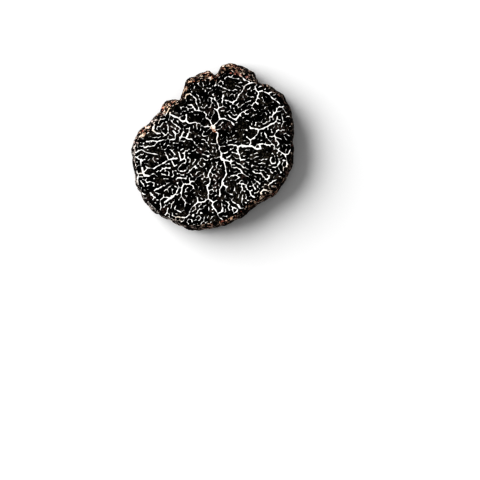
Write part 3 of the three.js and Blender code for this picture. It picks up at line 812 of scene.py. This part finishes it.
@dataclass(frozen=True)
class FleshFinish:
    """The cut flesh: near-black with dull taupe clouds, and off-white veins that turn cream near the bark."""

    dark: Colour = (0.0002, 0.0002, 0.0001)
    cloud: Colour = (0.0400, 0.0335, 0.0250)
    plum: Colour = (0.0500, 0.0320, 0.0275)
    vein: Colour = (0.920, 0.905, 0.885)
    cream: Colour = (0.780, 0.620, 0.450)
    rust: Colour = (0.330, 0.130, 0.060)
    dull_vein: Colour = (0.360, 0.320, 0.290)
    edge: float = 0.04 * MM
    clouds: Spots = Spots(2.2 * MM, 0.55, 0.07)
    cloud_gap: float = 0.32 * MM
    specks: Spots = Spots(0.7 * MM, 0.47, 0.10)
    plum_patches: Spots = Spots(5.0 * MM, 0.56, 0.05)
    fades: Spots = Spots(2.6 * MM, 0.64, 0.06)
    most_faded: float = 0.5
    rust_flecks: Spots = Spots(0.6 * MM, 0.48, 0.08)
    roughness: float = 0.62
    specular: float = 0.01
    grain_size: float = 0.16 * MM
    grain_relief: float = 0.012 * MM

    def build(self, effects: Effects) -> bpy.types.Material:
        """Makes the material.

        Args:
            effects: the shared shader groups.

        Returns:
            The material, which reads the mesh's vein, dull, cream and rust numbers.
        """
        tree = MaterialTree("truffle_flesh")
        where = tree.place
        vein = tree.attribute("vein")
        inside = tree.ramp(vein, -self.edge, self.edge)
        clouds = tree.math("MAXIMUM", effects.spots(tree, where, self.clouds), tree.attribute("dull"))
        specks = effects.spots(tree, where, self.specks)
        off_veins = tree.ramp(vein, -self.cloud_gap, -self.cloud_gap / 2, (1.0, 0.0))
        clouds = tree.math("MULTIPLY", tree.math("MULTIPLY", clouds, specks), off_veins)
        hue = tree.mix(effects.spots(tree, where, self.plum_patches), self.cloud, self.plum)
        flesh = tree.mix(clouds, self.dark, hue)
        fade = tree.math("MULTIPLY", effects.spots(tree, where, self.fades), self.most_faded)
        pale = tree.mix(fade, self.vein, self.dull_vein)
        pale = tree.mix(tree.attribute("cream"), pale, self.cream)
        rust = tree.math("MULTIPLY", tree.attribute("rust"), effects.spots(tree, where, self.rust_flecks))
        pale = tree.mix(rust, pale, self.rust)
        return tree.dress(
            Base_Color=tree.mix(inside, flesh, pale),
            Roughness=self.roughness,
            Specular_IOR_Level=self.specular,
            Normal=effects.bump(tree, where, self.grain_size, self.grain_relief),
        )


@dataclass(frozen=True)
class BarkFinish:
    """The bark: black-brown, with tan, reddish and cream flecks where the upper cut grazes it, and painted
    shade in the crevices between its scales.
    """

    # Painted shade: the near-black colour drawn in the crevices between the scales
    painted_crevice_shade: Colour = (0.0008, 0.0006, 0.0005)
    brown: Colour = (0.0290, 0.0185, 0.0135)
    rim: Colour = (0.0050, 0.0032, 0.0024)
    tan: Colour = (0.5800, 0.3700, 0.2500)
    red: Colour = (0.3600, 0.1100, 0.0750)
    cream: Colour = (0.9000, 0.7800, 0.6600)
    white: Colour = (0.8800, 0.8500, 0.8100)
    patches: Spots = Spots(3.0 * MM, 0.46, 0.12)
    blobs: Spots = Spots(0.7 * MM, 0.54, 0.02, 1.0)
    least_blob: float = 0.3
    streaks: Spots = Spots(1.1 * MM, 0.50, 0.05, 1.0)
    streak_patches: Spots = Spots(1.5 * MM, 0.50, 0.05)
    streak_stretch: float = 1.3
    red_patches: Spots = Spots(1.5 * MM, 0.54, 0.04, 1.0)
    crevice_shade_scales: tuple[float, float] = (0.30, 0.80)
    fleck_scales: tuple[float, float] = (0.48, 0.64)
    brown_height: float = 1.8 * MM
    low_height: float = 4.0 * MM
    high_height: float = 6.6 * MM
    uneven_height: float = 1.4 * MM
    roughness: float = 0.80
    specular: float = 0.03
    grain_size: float = 0.12 * MM
    grain_relief: float = 0.020 * MM

    def build(self, effects: Effects) -> bpy.types.Material:
        """Makes the material.

        Args:
            effects: the shared shader groups.

        Returns:
            The material, which reads the mesh's scale, pale and warm numbers.
        """
        tree = MaterialTree("truffle_bark")
        where = tree.place
        edge = tree.node_group(effects.edge, {"Position": where, "Stretch": self.streak_stretch})
        along = edge["Coordinates"]
        height = tree.node("ShaderNodeSeparateXYZ", {0: where}).outputs["Z"]
        # Painted shade: low between the scales the bark turns near-black, easing to brown on their tops
        crest = tree.ramp(tree.attribute("scale"), *self.crevice_shade_scales)
        brown = tree.mix(tree.ramp(height, self.brown_height, self.low_height), self.brown, self.rim)
        brown = tree.mix(crest, self.painted_crevice_shade, brown)
        patches = effects.spots(tree, where, self.patches)
        uneven = tree.math("MULTIPLY_ADD", patches, self.uneven_height, height)
        grazed = tree.ramp(uneven, self.low_height, self.high_height)
        bump = tree.ramp(tree.attribute("scale"), *self.fleck_scales)
        shown = tree.math("MULTIPLY", tree.math("MULTIPLY", tree.attribute("pale"), grazed), bump)
        blobs = tree.math("MULTIPLY", effects.spots(tree, along, self.blobs),
                          tree.ramp(patches, 0.0, 1.0, (self.least_blob, 1.0)))
        lines = effects.spots(tree, along, self.streaks, "Lines")
        lines = tree.math("MULTIPLY", lines, effects.spots(tree, where, self.streak_patches))
        hue = tree.mix(effects.spots(tree, along, self.red_patches), self.tan, self.red)
        hue = tree.mix(tree.attribute("warm"), self.white, tree.mix(lines, hue, self.cream))
        shown = tree.math("MULTIPLY", shown, tree.math("MAXIMUM", blobs, lines))
        return tree.dress(
            Base_Color=tree.mix(shown, brown, hue),
            Roughness=self.roughness,
            Specular_IOR_Level=self.specular,
            Normal=effects.bump(tree, where, self.grain_size, self.grain_relief),
        )


# Mesh helpers


def new_piece(name: str, points: np.ndarray, faces: list[list[int]], uvs: np.ndarray,
              numbers: dict[str, np.ndarray]) -> bpy.types.Object:
    """Makes a smooth mesh object at the origin.

    Args:
        name: the piece's name.
        points: its vertices.
        faces: the vertices of each face, counter-clockwise from outside.
        uvs: a place on the bake map for each corner of each face.
        numbers: for each name, a number or a vector at each vertex.

    Returns:
        The object, in the scene.
    """
    mesh = bpy.data.meshes.new(name)
    mesh.from_pydata(points.tolist(), [], faces)
    mesh.uv_layers.new(name=BAKE_MAP).data.foreach_set("uv", uvs.astype(np.float32).ravel())
    for label, values in numbers.items():
        is_vector = values.ndim == 2
        made = mesh.attributes.new(label, "FLOAT_VECTOR" if is_vector else "FLOAT", "POINT")
        made.data.foreach_set("vector" if is_vector else "value", values.astype(np.float32).ravel())
    mesh.polygons.foreach_set("use_smooth", np.ones(len(faces), bool))
    mesh.update()
    piece = bpy.data.objects.new(name, mesh)
    bpy.context.scene.collection.objects.link(piece)
    return piece


def grow(piece: bpy.types.Object, group: bpy.types.NodeTree, values: dict[str, Any]) -> bpy.types.Object:
    """Runs a Geometry Nodes tree on a piece and keeps the result as its plain mesh.

    Args:
        piece: the object.
        group: the tree.
        values: its named inputs.

    Returns:
        The same object.
    """
    modifier = piece.modifiers.new(group.name, "NODES")
    modifier.node_group = group
    sockets = {item.name: item.identifier for item in group.interface.items_tree if item.in_out == "INPUT"}
    for name, value in values.items():
        modifier[sockets[name]] = value
    grown = bpy.data.meshes.new_from_object(piece.evaluated_get(bpy.context.evaluated_depsgraph_get()))
    piece.modifiers.remove(modifier)
    old = piece.data
    piece.data = grown
    grown.name = piece.name
    bpy.data.meshes.remove(old)
    return piece


def square_to_disc(cells: int) -> tuple[np.ndarray, np.ndarray]:
    """Lays a square grid over a disc with cells of equal area, and no pole.

    Args:
        cells: how many cells the grid has each way.

    Returns:
        The distance from the middle, 1 at the rim, and the direction, of each grid point.
    """
    axis = np.linspace(-1, 1, cells + 1)
    a, b = np.meshgrid(axis, axis, indexing="ij")
    wide = np.abs(a) >= np.abs(b)
    along = np.where(wide, a, b)
    safe = np.where(along == 0, 1, along)
    angle = np.where(wide, math.pi / 4 * b / safe, math.pi / 2 - math.pi / 4 * a / safe)
    return np.abs(along), np.where(along < 0, angle + math.pi, angle)


def grid_rim(cells: int, first: int) -> np.ndarray:
    """Lists a square grid's rim points, counter-clockwise from its lower right corner.

    Args:
        cells: how many cells the grid has each way.
        first: the number of the grid's first point.

    Returns:
        The points' numbers.
    """
    step = np.arange(cells)
    side = cells + 1
    right = cells * side + step
    top = (cells - step) * side + cells
    left = cells - step
    bottom = step * side
    return first + np.concatenate([right, top, left, bottom])


# The flesh


@dataclass
class Flesh:
    """The veined flesh, a closed disc with the two cut faces of the slice."""

    outline: Outline
    veins: VeinField
    lower_rind: float = 0.5 * MM
    upper_cells: int = 268
    lower_cells: int = 134
    lower_lift: float = 0.08 * MM
    vein_relief: float = 0.06 * MM
    vein_slope: float = 0.12 * MM
    swell: float = 0.03 * MM
    swell_size: float = 7.0 * MM
    lower_drift: float = 0.5 * MM
    lower_drift_size: float = 9.0 * MM
    upper_share: float = 0.74
    lower_share: float = 0.41
    map_margin: float = 0.005
    wall_strip_left: float = 0.985
    wall_strip_width: float = 0.01
    wall_strip_low: float = 0.01
    wall_strip_length: float = 0.45
    spot_fade: float = 1.6
    # Where the veins are cream or rust: place and radius in millimetres, and strength
    cream_mm: tuple[tuple[float, float, float, float], ...] = (
        (0.2, 5.2, 1.7, 0.4), (-12.5, 10.8, 2.0, 0.9), (-15.9, 7.4, 1.6, 0.7), (-7.6, 14.6, 1.6, 0.8),
        (-17.3, 4.4, 1.4, 0.5), (1.0, 18.8, 1.4, 0.6), (13.6, -13.4, 1.8, 0.5), (15.0, -11.4, 1.6, 0.5),
        (20.8, -6.2, 1.6, 0.5), (-20.2, -7.0, 1.4, 0.3), (-9.9, -20.0, 2.0, 0.5), (1.5, 2.0, 1.2, 0.3),
    )
    rust_mm: tuple[tuple[float, float, float, float], ...] = (
        (0.4, 4.6, 0.75, 1.5), (-0.3, 5.2, 0.8, 0.9), (-6.9, 15.2, 0.7, 0.5), (-13.0, 8.9, 0.6, 0.6),
        (0.9, 19.2, 0.8, 0.7), (-5.3, -17.1, 0.8, 0.4),
    )

    def _spots(self, spots: tuple[tuple[float, float, float, float], ...], x: np.ndarray,
               y: np.ndarray) -> np.ndarray:
        """Gives each place the strength of the round spot that it lies in, fading to the spot's edge.

        Args:
            spots: each spot's place, radius and strength.
            x: places across the slice.
            y: places along the slice.

        Returns:
            The strength at each place.
        """
        value = np.zeros(x.shape)
        for at_x, at_y, radius, strength in spots:
            away = np.hypot(x - at_x * MM, y - at_y * MM) / (radius * MM)
            np.maximum(value, strength * np.clip(self.spot_fade * (1 - away), 0, 1), out=value)
        return value

    def _face(self, side: Side) -> dict[str, np.ndarray]:
        """Builds one cut face as flat rows of points.

        Args:
            side: which face.

        Returns:
            The points, the numbers at them, and their places on the bake map.
        """
        is_upper = side is Side.UPPER
        cells = self.upper_cells if is_upper else self.lower_cells
        share, angle = (values.ravel() for values in square_to_disc(cells))
        edge = self.outline.flesh(angle) if is_upper else self.outline.lower(angle) - self.lower_rind
        x, y = share * edge * np.cos(angle), share * edge * np.sin(angle)
        height = self.outline.thickness if is_upper else self.lower_lift
        drift = 0.0 if is_upper else self.lower_drift
        wave = 2 * math.pi / self.lower_drift_size
        at_x, at_y = x + drift * np.sin(wave * y), y + drift * np.cos(wave * x)
        reach = edge.max() * 2
        size = self.upper_share if is_upper else self.lower_share
        middle = size / 2 + self.map_margin if is_upper else 1 - size / 2 - self.map_margin
        return {
            "points": np.stack([x, y, np.full(x.shape, height)], axis=1),
            "vein": self.veins.read(self.veins.depth, at_x, at_y),
            "dull": self.veins.read(self.veins.dullness, at_x, at_y),
            "cream": self._spots(self.cream_mm, at_x, at_y),
            "rust": self._spots(self.rust_mm, at_x, at_y),
            "facing": np.full(x.shape, side.value),
            "uv": np.stack([middle + x / reach * size, middle + y / reach * size], axis=1),
        }

    def _quads(self, side: Side, first: int) -> np.ndarray:
        """Lists a face's quads, turned so that they face outwards.

        Args:
            side: which face.
            first: the number of the face's first point.

        Returns:
            The four points of each quad.
        """
        cells = self.upper_cells if side is Side.UPPER else self.lower_cells
        steps = np.arange(cells)
        row, column = (values.ravel() for values in np.meshgrid(steps, steps, indexing="ij"))
        corner = first + row * (cells + 1) + column
        quads = np.stack([corner, corner + cells + 1, corner + cells + 2, corner + 1], axis=1)
        return quads if side is Side.UPPER else quads[:, ::-1]

    def _wall(self, first_lower: int) -> np.ndarray:
        """Joins the rims of the two faces, two cells of the upper one to each cell of the lower one.

        Args:
            first_lower: the number of the lower face's first point.

        Returns:
            The four points of each wall face, the last two the same on a triangle.
        """
        upper = grid_rim(self.upper_cells, 0)
        lower = grid_rim(self.lower_cells, first_lower)
        start, middle, end = upper[0::2], upper[1::2], np.roll(upper[0::2], -1)
        after = np.roll(lower, -1)
        return np.concatenate([
            np.stack([lower, middle, start, start], axis=1),
            np.stack([lower, after, end, middle], axis=1),
        ])

    def build(self) -> bpy.types.Object:
        """Makes the smooth flesh, before its relief.

        Returns:
            The object, with its vein, dull, cream, rust and facing numbers.
        """
        upper, lower = self._face(Side.UPPER), self._face(Side.LOWER)
        first_lower = len(upper["points"])
        joined = {name: np.concatenate([upper[name], lower[name]]) for name in upper}
        wall = self._wall(first_lower)
        quads = np.concatenate([self._quads(Side.UPPER, 0), self._quads(Side.LOWER, first_lower)])
        triangles = wall[wall[:, 2] == wall[:, 3]][:, :3]
        fours = np.concatenate([quads, wall[wall[:, 2] != wall[:, 3]]])
        faces = fours.tolist() + triangles.tolist()
        corners = np.concatenate([fours.ravel(), triangles.ravel()])
        uvs = joined["uv"][corners]
        first_wall = quads.size
        uvs[first_wall:] = self._wall_map(joined["points"][corners[first_wall:]])
        numbers = {name: joined[name] for name in ("vein", "dull", "cream", "rust", "facing")}
        return new_piece("truffle_flesh", joined["points"], faces, uvs, numbers)

    def _wall_map(self, points: np.ndarray) -> np.ndarray:
        """Lays the hidden wall in the narrow free strip at the right of the bake map.

        Args:
            points: the place of each corner of the wall's faces.

        Returns:
            Each corner's place on the bake map.
        """
        angle = np.arctan2(points[:, 1], points[:, 0]) / (2 * math.pi) + 0.5
        up = points[:, 2] / self.outline.thickness
        across = self.wall_strip_left + self.wall_strip_width * up
        return np.stack([across, self.wall_strip_low + self.wall_strip_length * angle], axis=1)

    def relief_tree(self) -> bpy.types.NodeTree:
        """Makes the tree that lifts the veins a little out of the cut faces.

        Returns:
            The tree, with its sizes and its material as inputs.
        """
        inputs = {"Geometry": "NodeSocketGeometry", "Relief": self.vein_relief, "Slope": self.vein_slope,
                  "Swell": self.swell, "Swell Size": self.swell_size, "Material": "NodeSocketMaterial"}
        tree, given, wanted = new_group("GeometryNodeTree", "Vein Relief", inputs,
                                        {"Geometry": "NodeSocketGeometry"})
        vein = named(tree, "vein")
        low = tree.math("MULTIPLY", given["Slope"], -0.5)
        high = tree.math("MULTIPLY", given["Slope"], 0.5)
        lift = tree.math("MULTIPLY", tree.ramp(vein, low, high), given["Relief"])
        place = tree.node("GeometryNodeInputPosition").outputs[0]
        scale = tree.math("DIVIDE", 1.0, given["Swell Size"])
        noise = tree.node("ShaderNodeTexNoise", {"Vector": place, "Scale": scale, "Detail": 1.0})
        swell = tree.math("SUBTRACT", noise.outputs["Fac"], 0.5)
        swell = tree.math("MULTIPLY", swell, given["Swell"])
        total = tree.math("MULTIPLY", tree.math("ADD", lift, swell), named(tree, "facing"))
        offset = tree.node("ShaderNodeCombineXYZ", {"Z": total}).outputs[0]
        moved = tree.node("GeometryNodeSetPosition", {"Geometry": given["Geometry"], "Offset": offset})
        close(tree, moved.outputs[0], given["Material"], wanted["Geometry"])
        return tree.tree

    def make(self, material: bpy.types.Material) -> bpy.types.Object:
        """Builds the flesh with its relief and its finish.

        Args:
            material: the finish.

        Returns:
            The finished object.
        """
        return grow(self.build(), self.relief_tree(), {"Material": material})


def named(tree: Tree, name: str, kind: str = "FLOAT") -> bpy.types.NodeSocket:
    """Reads a number or a vector that the mesh carries, in Geometry Nodes."""
    return tree.node("GeometryNodeInputNamedAttribute", {"Name": name}, data_type=kind).outputs["Attribute"]


def close(tree: Tree, geometry: bpy.types.NodeSocket, material: bpy.types.NodeSocket,
          wanted: bpy.types.NodeSocket) -> None:
    """Ends a Geometry Nodes tree: instances made real and the material set.

    Args:
        tree: the tree.
        geometry: what it has made.
        material: the material to set.
        wanted: the tree's output.
    """
    real = tree.node("GeometryNodeRealizeInstances", {"Geometry": geometry}).outputs[0]
    dressed = tree.node("GeometryNodeSetMaterial", {"Geometry": real, "Material": material}).outputs[0]
    tree.tree.links.new(dressed, wanted)


# The bark


@dataclass
class Bark:
    """The bark, a closed band round the slice with a narrow cut ring above and below."""

    outline: Outline
    lower_rind: float = 0.5 * MM
    tuck: float = 0.35 * MM
    tuck_depth: float = 0.25 * MM
    ring_drop: float = 0.03 * MM
    edge_drop: float = 0.06 * MM
    seam: float = 0.05 * MM
    columns: int = 1080
    wall_rows: int = 60
    ring_rows: int = 4
    wart_pitch: float = 3.2 * MM
    wart_height: float = 0.85 * MM
    wart_foot: float = 0.70
    wart_fall: float = 1.0
    wart_sizes: tuple[float, float] = (0.7, 1.15)
    scale_pitch: float = 0.80 * MM
    scale_height: float = 0.14 * MM
    scale_foot: float = 0.50
    scale_fall: float = 1.2
    scale_sizes: tuple[float, float] = (0.6, 1.1)
    rough_size: float = 0.35 * MM
    rough_height: float = 0.10 * MM
    map_strips: int = 4
    map_margin: float = 0.008
    # How pale and tan the bark is, by direction
    paleness: tuple[tuple[float, float], ...] = (
        (-180, 0.70), (-165, 0.80), (-145, 0.80), (-130, 0.80), (-108, 0.80), (-95, 0.85), (-72, 0.85),
        (-60, 0.45), (-46, 0.80), (-36, 0.60), (-20, 0.50), (0, 0.30), (30, 0.35), (50, 0.60), (62, 0.95),
        (82, 1.00), (92, 0.90), (108, 0.80), (118, 0.80), (134, 0.90), (150, 0.85), (163, 0.90),
    )
    # How warm its flecks are, from white to tan and red, by direction
    warmth: tuple[tuple[float, float], ...] = (
        (-180, 0.3), (-130, 0.3), (-105, 0.6), (-90, 1.0), (60, 0.8), (80, 1.0), (145, 1.0), (157, 0.4),
        (167, 1.0),
    )

    def _profile(self, angle: np.ndarray) -> tuple[np.ndarray, np.ndarray, np.ndarray]:
        """Works out the band's closed section in every direction.

        Args:
            angle: the columns' directions.

        Returns:
            For each column and row, the reach, the height, and how far the warts move it, from 0 to 1.
            The rows run from inside the upper face, over the edge, down the wall and in below.
        """
        flesh, upper = self.outline.flesh(angle), self.outline.upper(angle)
        lower = self.outline.lower(angle)
        top, bottom = self.outline.thickness - self.ring_drop, self.ring_drop
        inside, lower_inside = flesh - self.tuck, lower - self.lower_rind - self.tuck
        rows = [(inside, top - self.tuck_depth, 0.0), (inside, top - self.tuck_depth / 2, 0.0)]
        for share in np.linspace(0, 1, self.ring_rows, endpoint=False):
            rows.append((flesh + (upper - flesh) * share - self.seam, top, share))
        for share in np.linspace(0, 1, self.wall_rows):
            height = top - self.edge_drop - share * (top - bottom - 2 * self.edge_drop)
            rows.append((self.outline.wall(angle, np.full(angle.shape, height)), height, 1.0))
        for share in np.linspace(1, 0, self.ring_rows, endpoint=False):
            rows.append((lower - self.lower_rind * (1 - share) - self.seam, bottom, share))
        rows.append((lower_inside, bottom + self.tuck_depth / 2, 0.0))
        rows.append((lower_inside, bottom + self.tuck_depth, 0.0))
        reach = np.stack([row[0] for row in rows], axis=1)
        height = np.stack([np.full(angle.shape, row[1]) for row in rows], axis=1)
        weight = np.stack([np.full(angle.shape, row[2]) for row in rows], axis=1)
        return reach, height, weight

    def build(self) -> bpy.types.Object:
        """Makes the smooth band, before its warts.

        Returns:
            The object, with its outward, pale and warm numbers.
        """
        turn = np.arange(self.columns) / self.columns
        angle = 2 * math.pi * turn - math.pi
        reach, height, weight = self._profile(angle)
        rows = reach.shape[1]
        out_x, out_y = np.cos(angle)[:, None], np.sin(angle)[:, None]
        points = np.stack([reach * out_x, reach * out_y, height], axis=2).reshape(-1, 3)
        outward = np.stack([weight * out_x, weight * out_y, np.zeros_like(weight)], axis=2).reshape(-1, 3)
        pale = np.repeat(around(self.paleness, angle), rows)
        warm = np.repeat(around(self.warmth, angle), rows)
        grid = np.meshgrid(np.arange(self.columns), np.arange(rows), indexing="ij")
        column, row = (values.ravel() for values in grid)
        onward, below = (column + 1) % self.columns, (row + 1) % rows
        faces = np.stack([column * rows + row, column * rows + below, onward * rows + below,
                          onward * rows + row], axis=1)
        uvs = self._strips(column, row, rows)
        numbers = {"outward": outward, "pale": pale, "warm": warm}
        return new_piece("truffle_bark", points, faces.tolist(), uvs, numbers)

    def _strips(self, column: np.ndarray, row: np.ndarray, rows: int) -> np.ndarray:
        """Cuts the band into strips and stacks them on the bake map.

        Args:
            column: each face's column.
            row: each face's row.
            rows: how many rows the band has.

        Returns:
            The four corners of each face on the map.
        """
        length = self.columns // self.map_strips
        strip, step = column // length, column % length
        span = 1 - 2 * self.map_margin
        left = self.map_margin + span * step / length
        right = self.map_margin + span * (step + 1) / length
        rise = 1 / self.map_strips
        low = rise * strip + self.map_margin + (rise - 2 * self.map_margin) * row / rows
        high = rise * strip + self.map_margin + (rise - 2 * self.map_margin) * (row + 1) / rows
        corners = [(left, low), (left, high), (right, high), (right, low)]
        return np.stack([np.stack(corner, axis=1) for corner in corners], axis=1).reshape(-1, 2)

    def wart_tree(self) -> bpy.types.NodeTree:
        """Makes the tree that raises the warts, the scales on them and a rough skin.

        Returns:
            The tree, which also keeps the scales' height for the finish.
        """
        inputs = {"Geometry": "NodeSocketGeometry", "Wart Pitch": self.wart_pitch,
                  "Wart Height": self.wart_height, "Wart Foot": self.wart_foot,
                  "Scale Pitch": self.scale_pitch, "Scale Height": self.scale_height,
                  "Scale Foot": self.scale_foot,
                  "Rough Size": self.rough_size, "Rough Height": self.rough_height,
                  "Material": "NodeSocketMaterial"}
        tree, given, wanted = new_group("GeometryNodeTree", "Bark Warts", inputs,
                                        {"Geometry": "NodeSocketGeometry"})
        place = tree.node("GeometryNodeInputPosition").outputs[0]
        wart, wart_chance = self._cells(tree, place, given["Wart Pitch"], self.wart_fall)
        scale, scale_chance = self._cells(tree, place, given["Scale Pitch"], self.scale_fall)
        warts = tree.math("MULTIPLY", wart, tree.ramp(wart_chance, 0.0, 1.0, self.wart_sizes))
        warts = tree.math("SUBTRACT", warts, given["Wart Foot"])
        scales = tree.math("MULTIPLY", scale, tree.ramp(scale_chance, 0.0, 1.0, self.scale_sizes))
        scales = tree.math("SUBTRACT", scales, given["Scale Foot"])
        finer = tree.math("DIVIDE", 1.0, given["Rough Size"])
        noise = tree.node("ShaderNodeTexNoise", {"Vector": place, "Scale": finer, "Detail": 3.0})
        rise = tree.math("ADD", tree.math("MULTIPLY", warts, given["Wart Height"]),
                         tree.math("MULTIPLY", scales, given["Scale Height"]))
        rough = tree.math("SUBTRACT", noise.outputs["Fac"], 0.5)
        rough = tree.math("MULTIPLY", rough, given["Rough Height"])
        rise = tree.math("ADD", rise, rough)
        offset = tree.scaled(named(tree, "outward", "FLOAT_VECTOR"), rise)
        marked = tree.node("GeometryNodeStoreNamedAttribute", {"Geometry": given["Geometry"], "Name": "scale",
                                                               "Value": scale}).outputs[0]
        moved = tree.node("GeometryNodeSetPosition", {"Geometry": marked, "Offset": offset})
        close(tree, moved.outputs[0], given["Material"], wanted["Geometry"])
        return tree.tree

    def _cells(self, tree: Tree, place: bpy.types.NodeSocket, pitch: bpy.types.NodeSocket,
               fall: float) -> tuple[bpy.types.NodeSocket, bpy.types.NodeSocket]:
        """Adds uneven cells with a rounded bump on each.

        Args:
            tree: the tree to add them to.
            place: the position.
            pitch: the cells' size.
            fall: how fast a bump falls off from its middle.

        Returns:
            The bumps' height from 0 to 1, and a chance number that is the same all over a cell.
        """
        cells = tree.node("ShaderNodeTexVoronoi", {"Vector": place, "Scale": tree.math("DIVIDE", 1.0, pitch)},
                          feature="F1").outputs
        away = tree.math("MULTIPLY", cells["Distance"], fall)
        chance = tree.node("FunctionNodeSeparateColor", {"Color": cells["Color"]}).outputs[0]
        return tree.math("SUBTRACT", 1.0, tree.math("MULTIPLY", away, away), clamp=True), chance

    def make(self, material: bpy.types.Material) -> bpy.types.Object:
        """Builds the bark with its warts and its finish.

        Args:
            material: the finish.

        Returns:
            The finished object.
        """
        return grow(self.build(), self.wart_tree(), {"Material": material})


# The studio


@dataclass(frozen=True)
class Studio:
    """A white table, a large soft light low at the upper left, and a camera straight above.

    The view is given a hard tone, as the photograph has.
    """

    view_middle: tuple[float, float] = (7.56 * MM, -26.04 * MM)
    view_width: float = 134.4 * MM
    view_height: float = 7.5 * MM
    lens: float = 200.0
    sensor: float = 36.0
    clip_factor: float = 10.0
    view_transform: str = "Standard"
    look: str = "High Contrast"
    table_size: float = 6.0
    table_colour: Colour = (0.80, 0.80, 0.80)
    table_roughness: float = 0.9
    sky_light: float = 0.28
    key_height: float = 24.0
    key_turn: float = 154.0
    key_distance: float = 3.0
    key_size: float = 4.0
    key_power: float = 212.0

    def camera(self) -> None:
        """Makes the camera, as far up as its lens needs to frame the table's view."""
        data = bpy.data.cameras.new("camera")
        data.lens = self.lens
        data.sensor_width = self.sensor
        camera = bpy.data.objects.new("camera", data)
        away = self.view_width * self.lens / self.sensor
        camera.location = (*self.view_middle, self.view_height + away)
        data.clip_end = self.clip_factor * away
        bpy.context.scene.collection.objects.link(camera)
        bpy.context.scene.camera = camera

    def table(self) -> None:
        """Makes the white table."""
        half = self.table_size / 2
        mesh = bpy.data.meshes.new("table")
        corners = [(-half, -half, 0), (half, -half, 0), (half, half, 0), (-half, half, 0)]
        mesh.from_pydata(corners, [], [(0, 1, 2, 3)])
        table = bpy.data.objects.new("table", mesh)
        bpy.context.scene.collection.objects.link(table)
        tree = MaterialTree("white_table")
        mesh.materials.append(tree.dress(Base_Color=opaque(self.table_colour),
                                         Roughness=self.table_roughness, Specular_IOR_Level=0.0))

    def lights(self) -> None:
        """Makes the key light, low at the upper left, and the even light of the room."""
        data = bpy.data.lights.new("key", "AREA")
        data.shape = "DISK"
        data.size = self.key_size
        data.energy = self.key_power
        key = bpy.data.objects.new("key", data)
        turn, height = math.radians(self.key_turn), math.radians(self.key_height)
        key.location = (self.key_distance * math.cos(turn) * math.cos(height),
                        self.key_distance * math.sin(turn) * math.cos(height),
                        self.key_distance * math.sin(height))
        key.rotation_mode = "QUATERNION"
        key.rotation_quaternion = key.location.to_track_quat("Z", "Y")
        bpy.context.scene.collection.objects.link(key)
        world = bpy.data.worlds.new("room")
        world.use_nodes = True
        tree = Tree(world.node_tree)
        background = world.node_tree.nodes["Background"].inputs
        seen = tree.node("ShaderNodeLightPath").outputs["Is Camera Ray"]
        strength = tree.node("ShaderNodeMapRange", {"Value": seen, "To Min": self.sky_light, "To Max": 1.0})
        world.node_tree.links.new(strength.outputs[0], background["Strength"])
        background["Color"].default_value = (1, 1, 1, 1)
        bpy.context.scene.world = world

    def build(self) -> None:
        """Makes the whole studio."""
        self.camera()
        self.table()
        self.lights()
        settings = bpy.context.scene.view_settings
        settings.view_transform = self.view_transform
        settings.look = self.look


def main() -> None:
    """Builds the slice round the frame, and the studio."""
    logging.basicConfig(level=logging.INFO, format="%(name)s: %(message)s")
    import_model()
    outline = Outline()
    effects = Effects()
    flesh = Flesh(outline, VeinField()).make(FleshFinish().build(effects))
    bark = Bark(outline).make(BarkFinish().build(effects))
    for piece in (flesh, bark):
        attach(piece, BODY)
        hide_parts(NODE)
        log.info("%s has %d faces", piece.name, len(piece.data.polygons))
    Studio().build()
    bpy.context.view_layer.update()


if __name__ == "__main__":
    main()
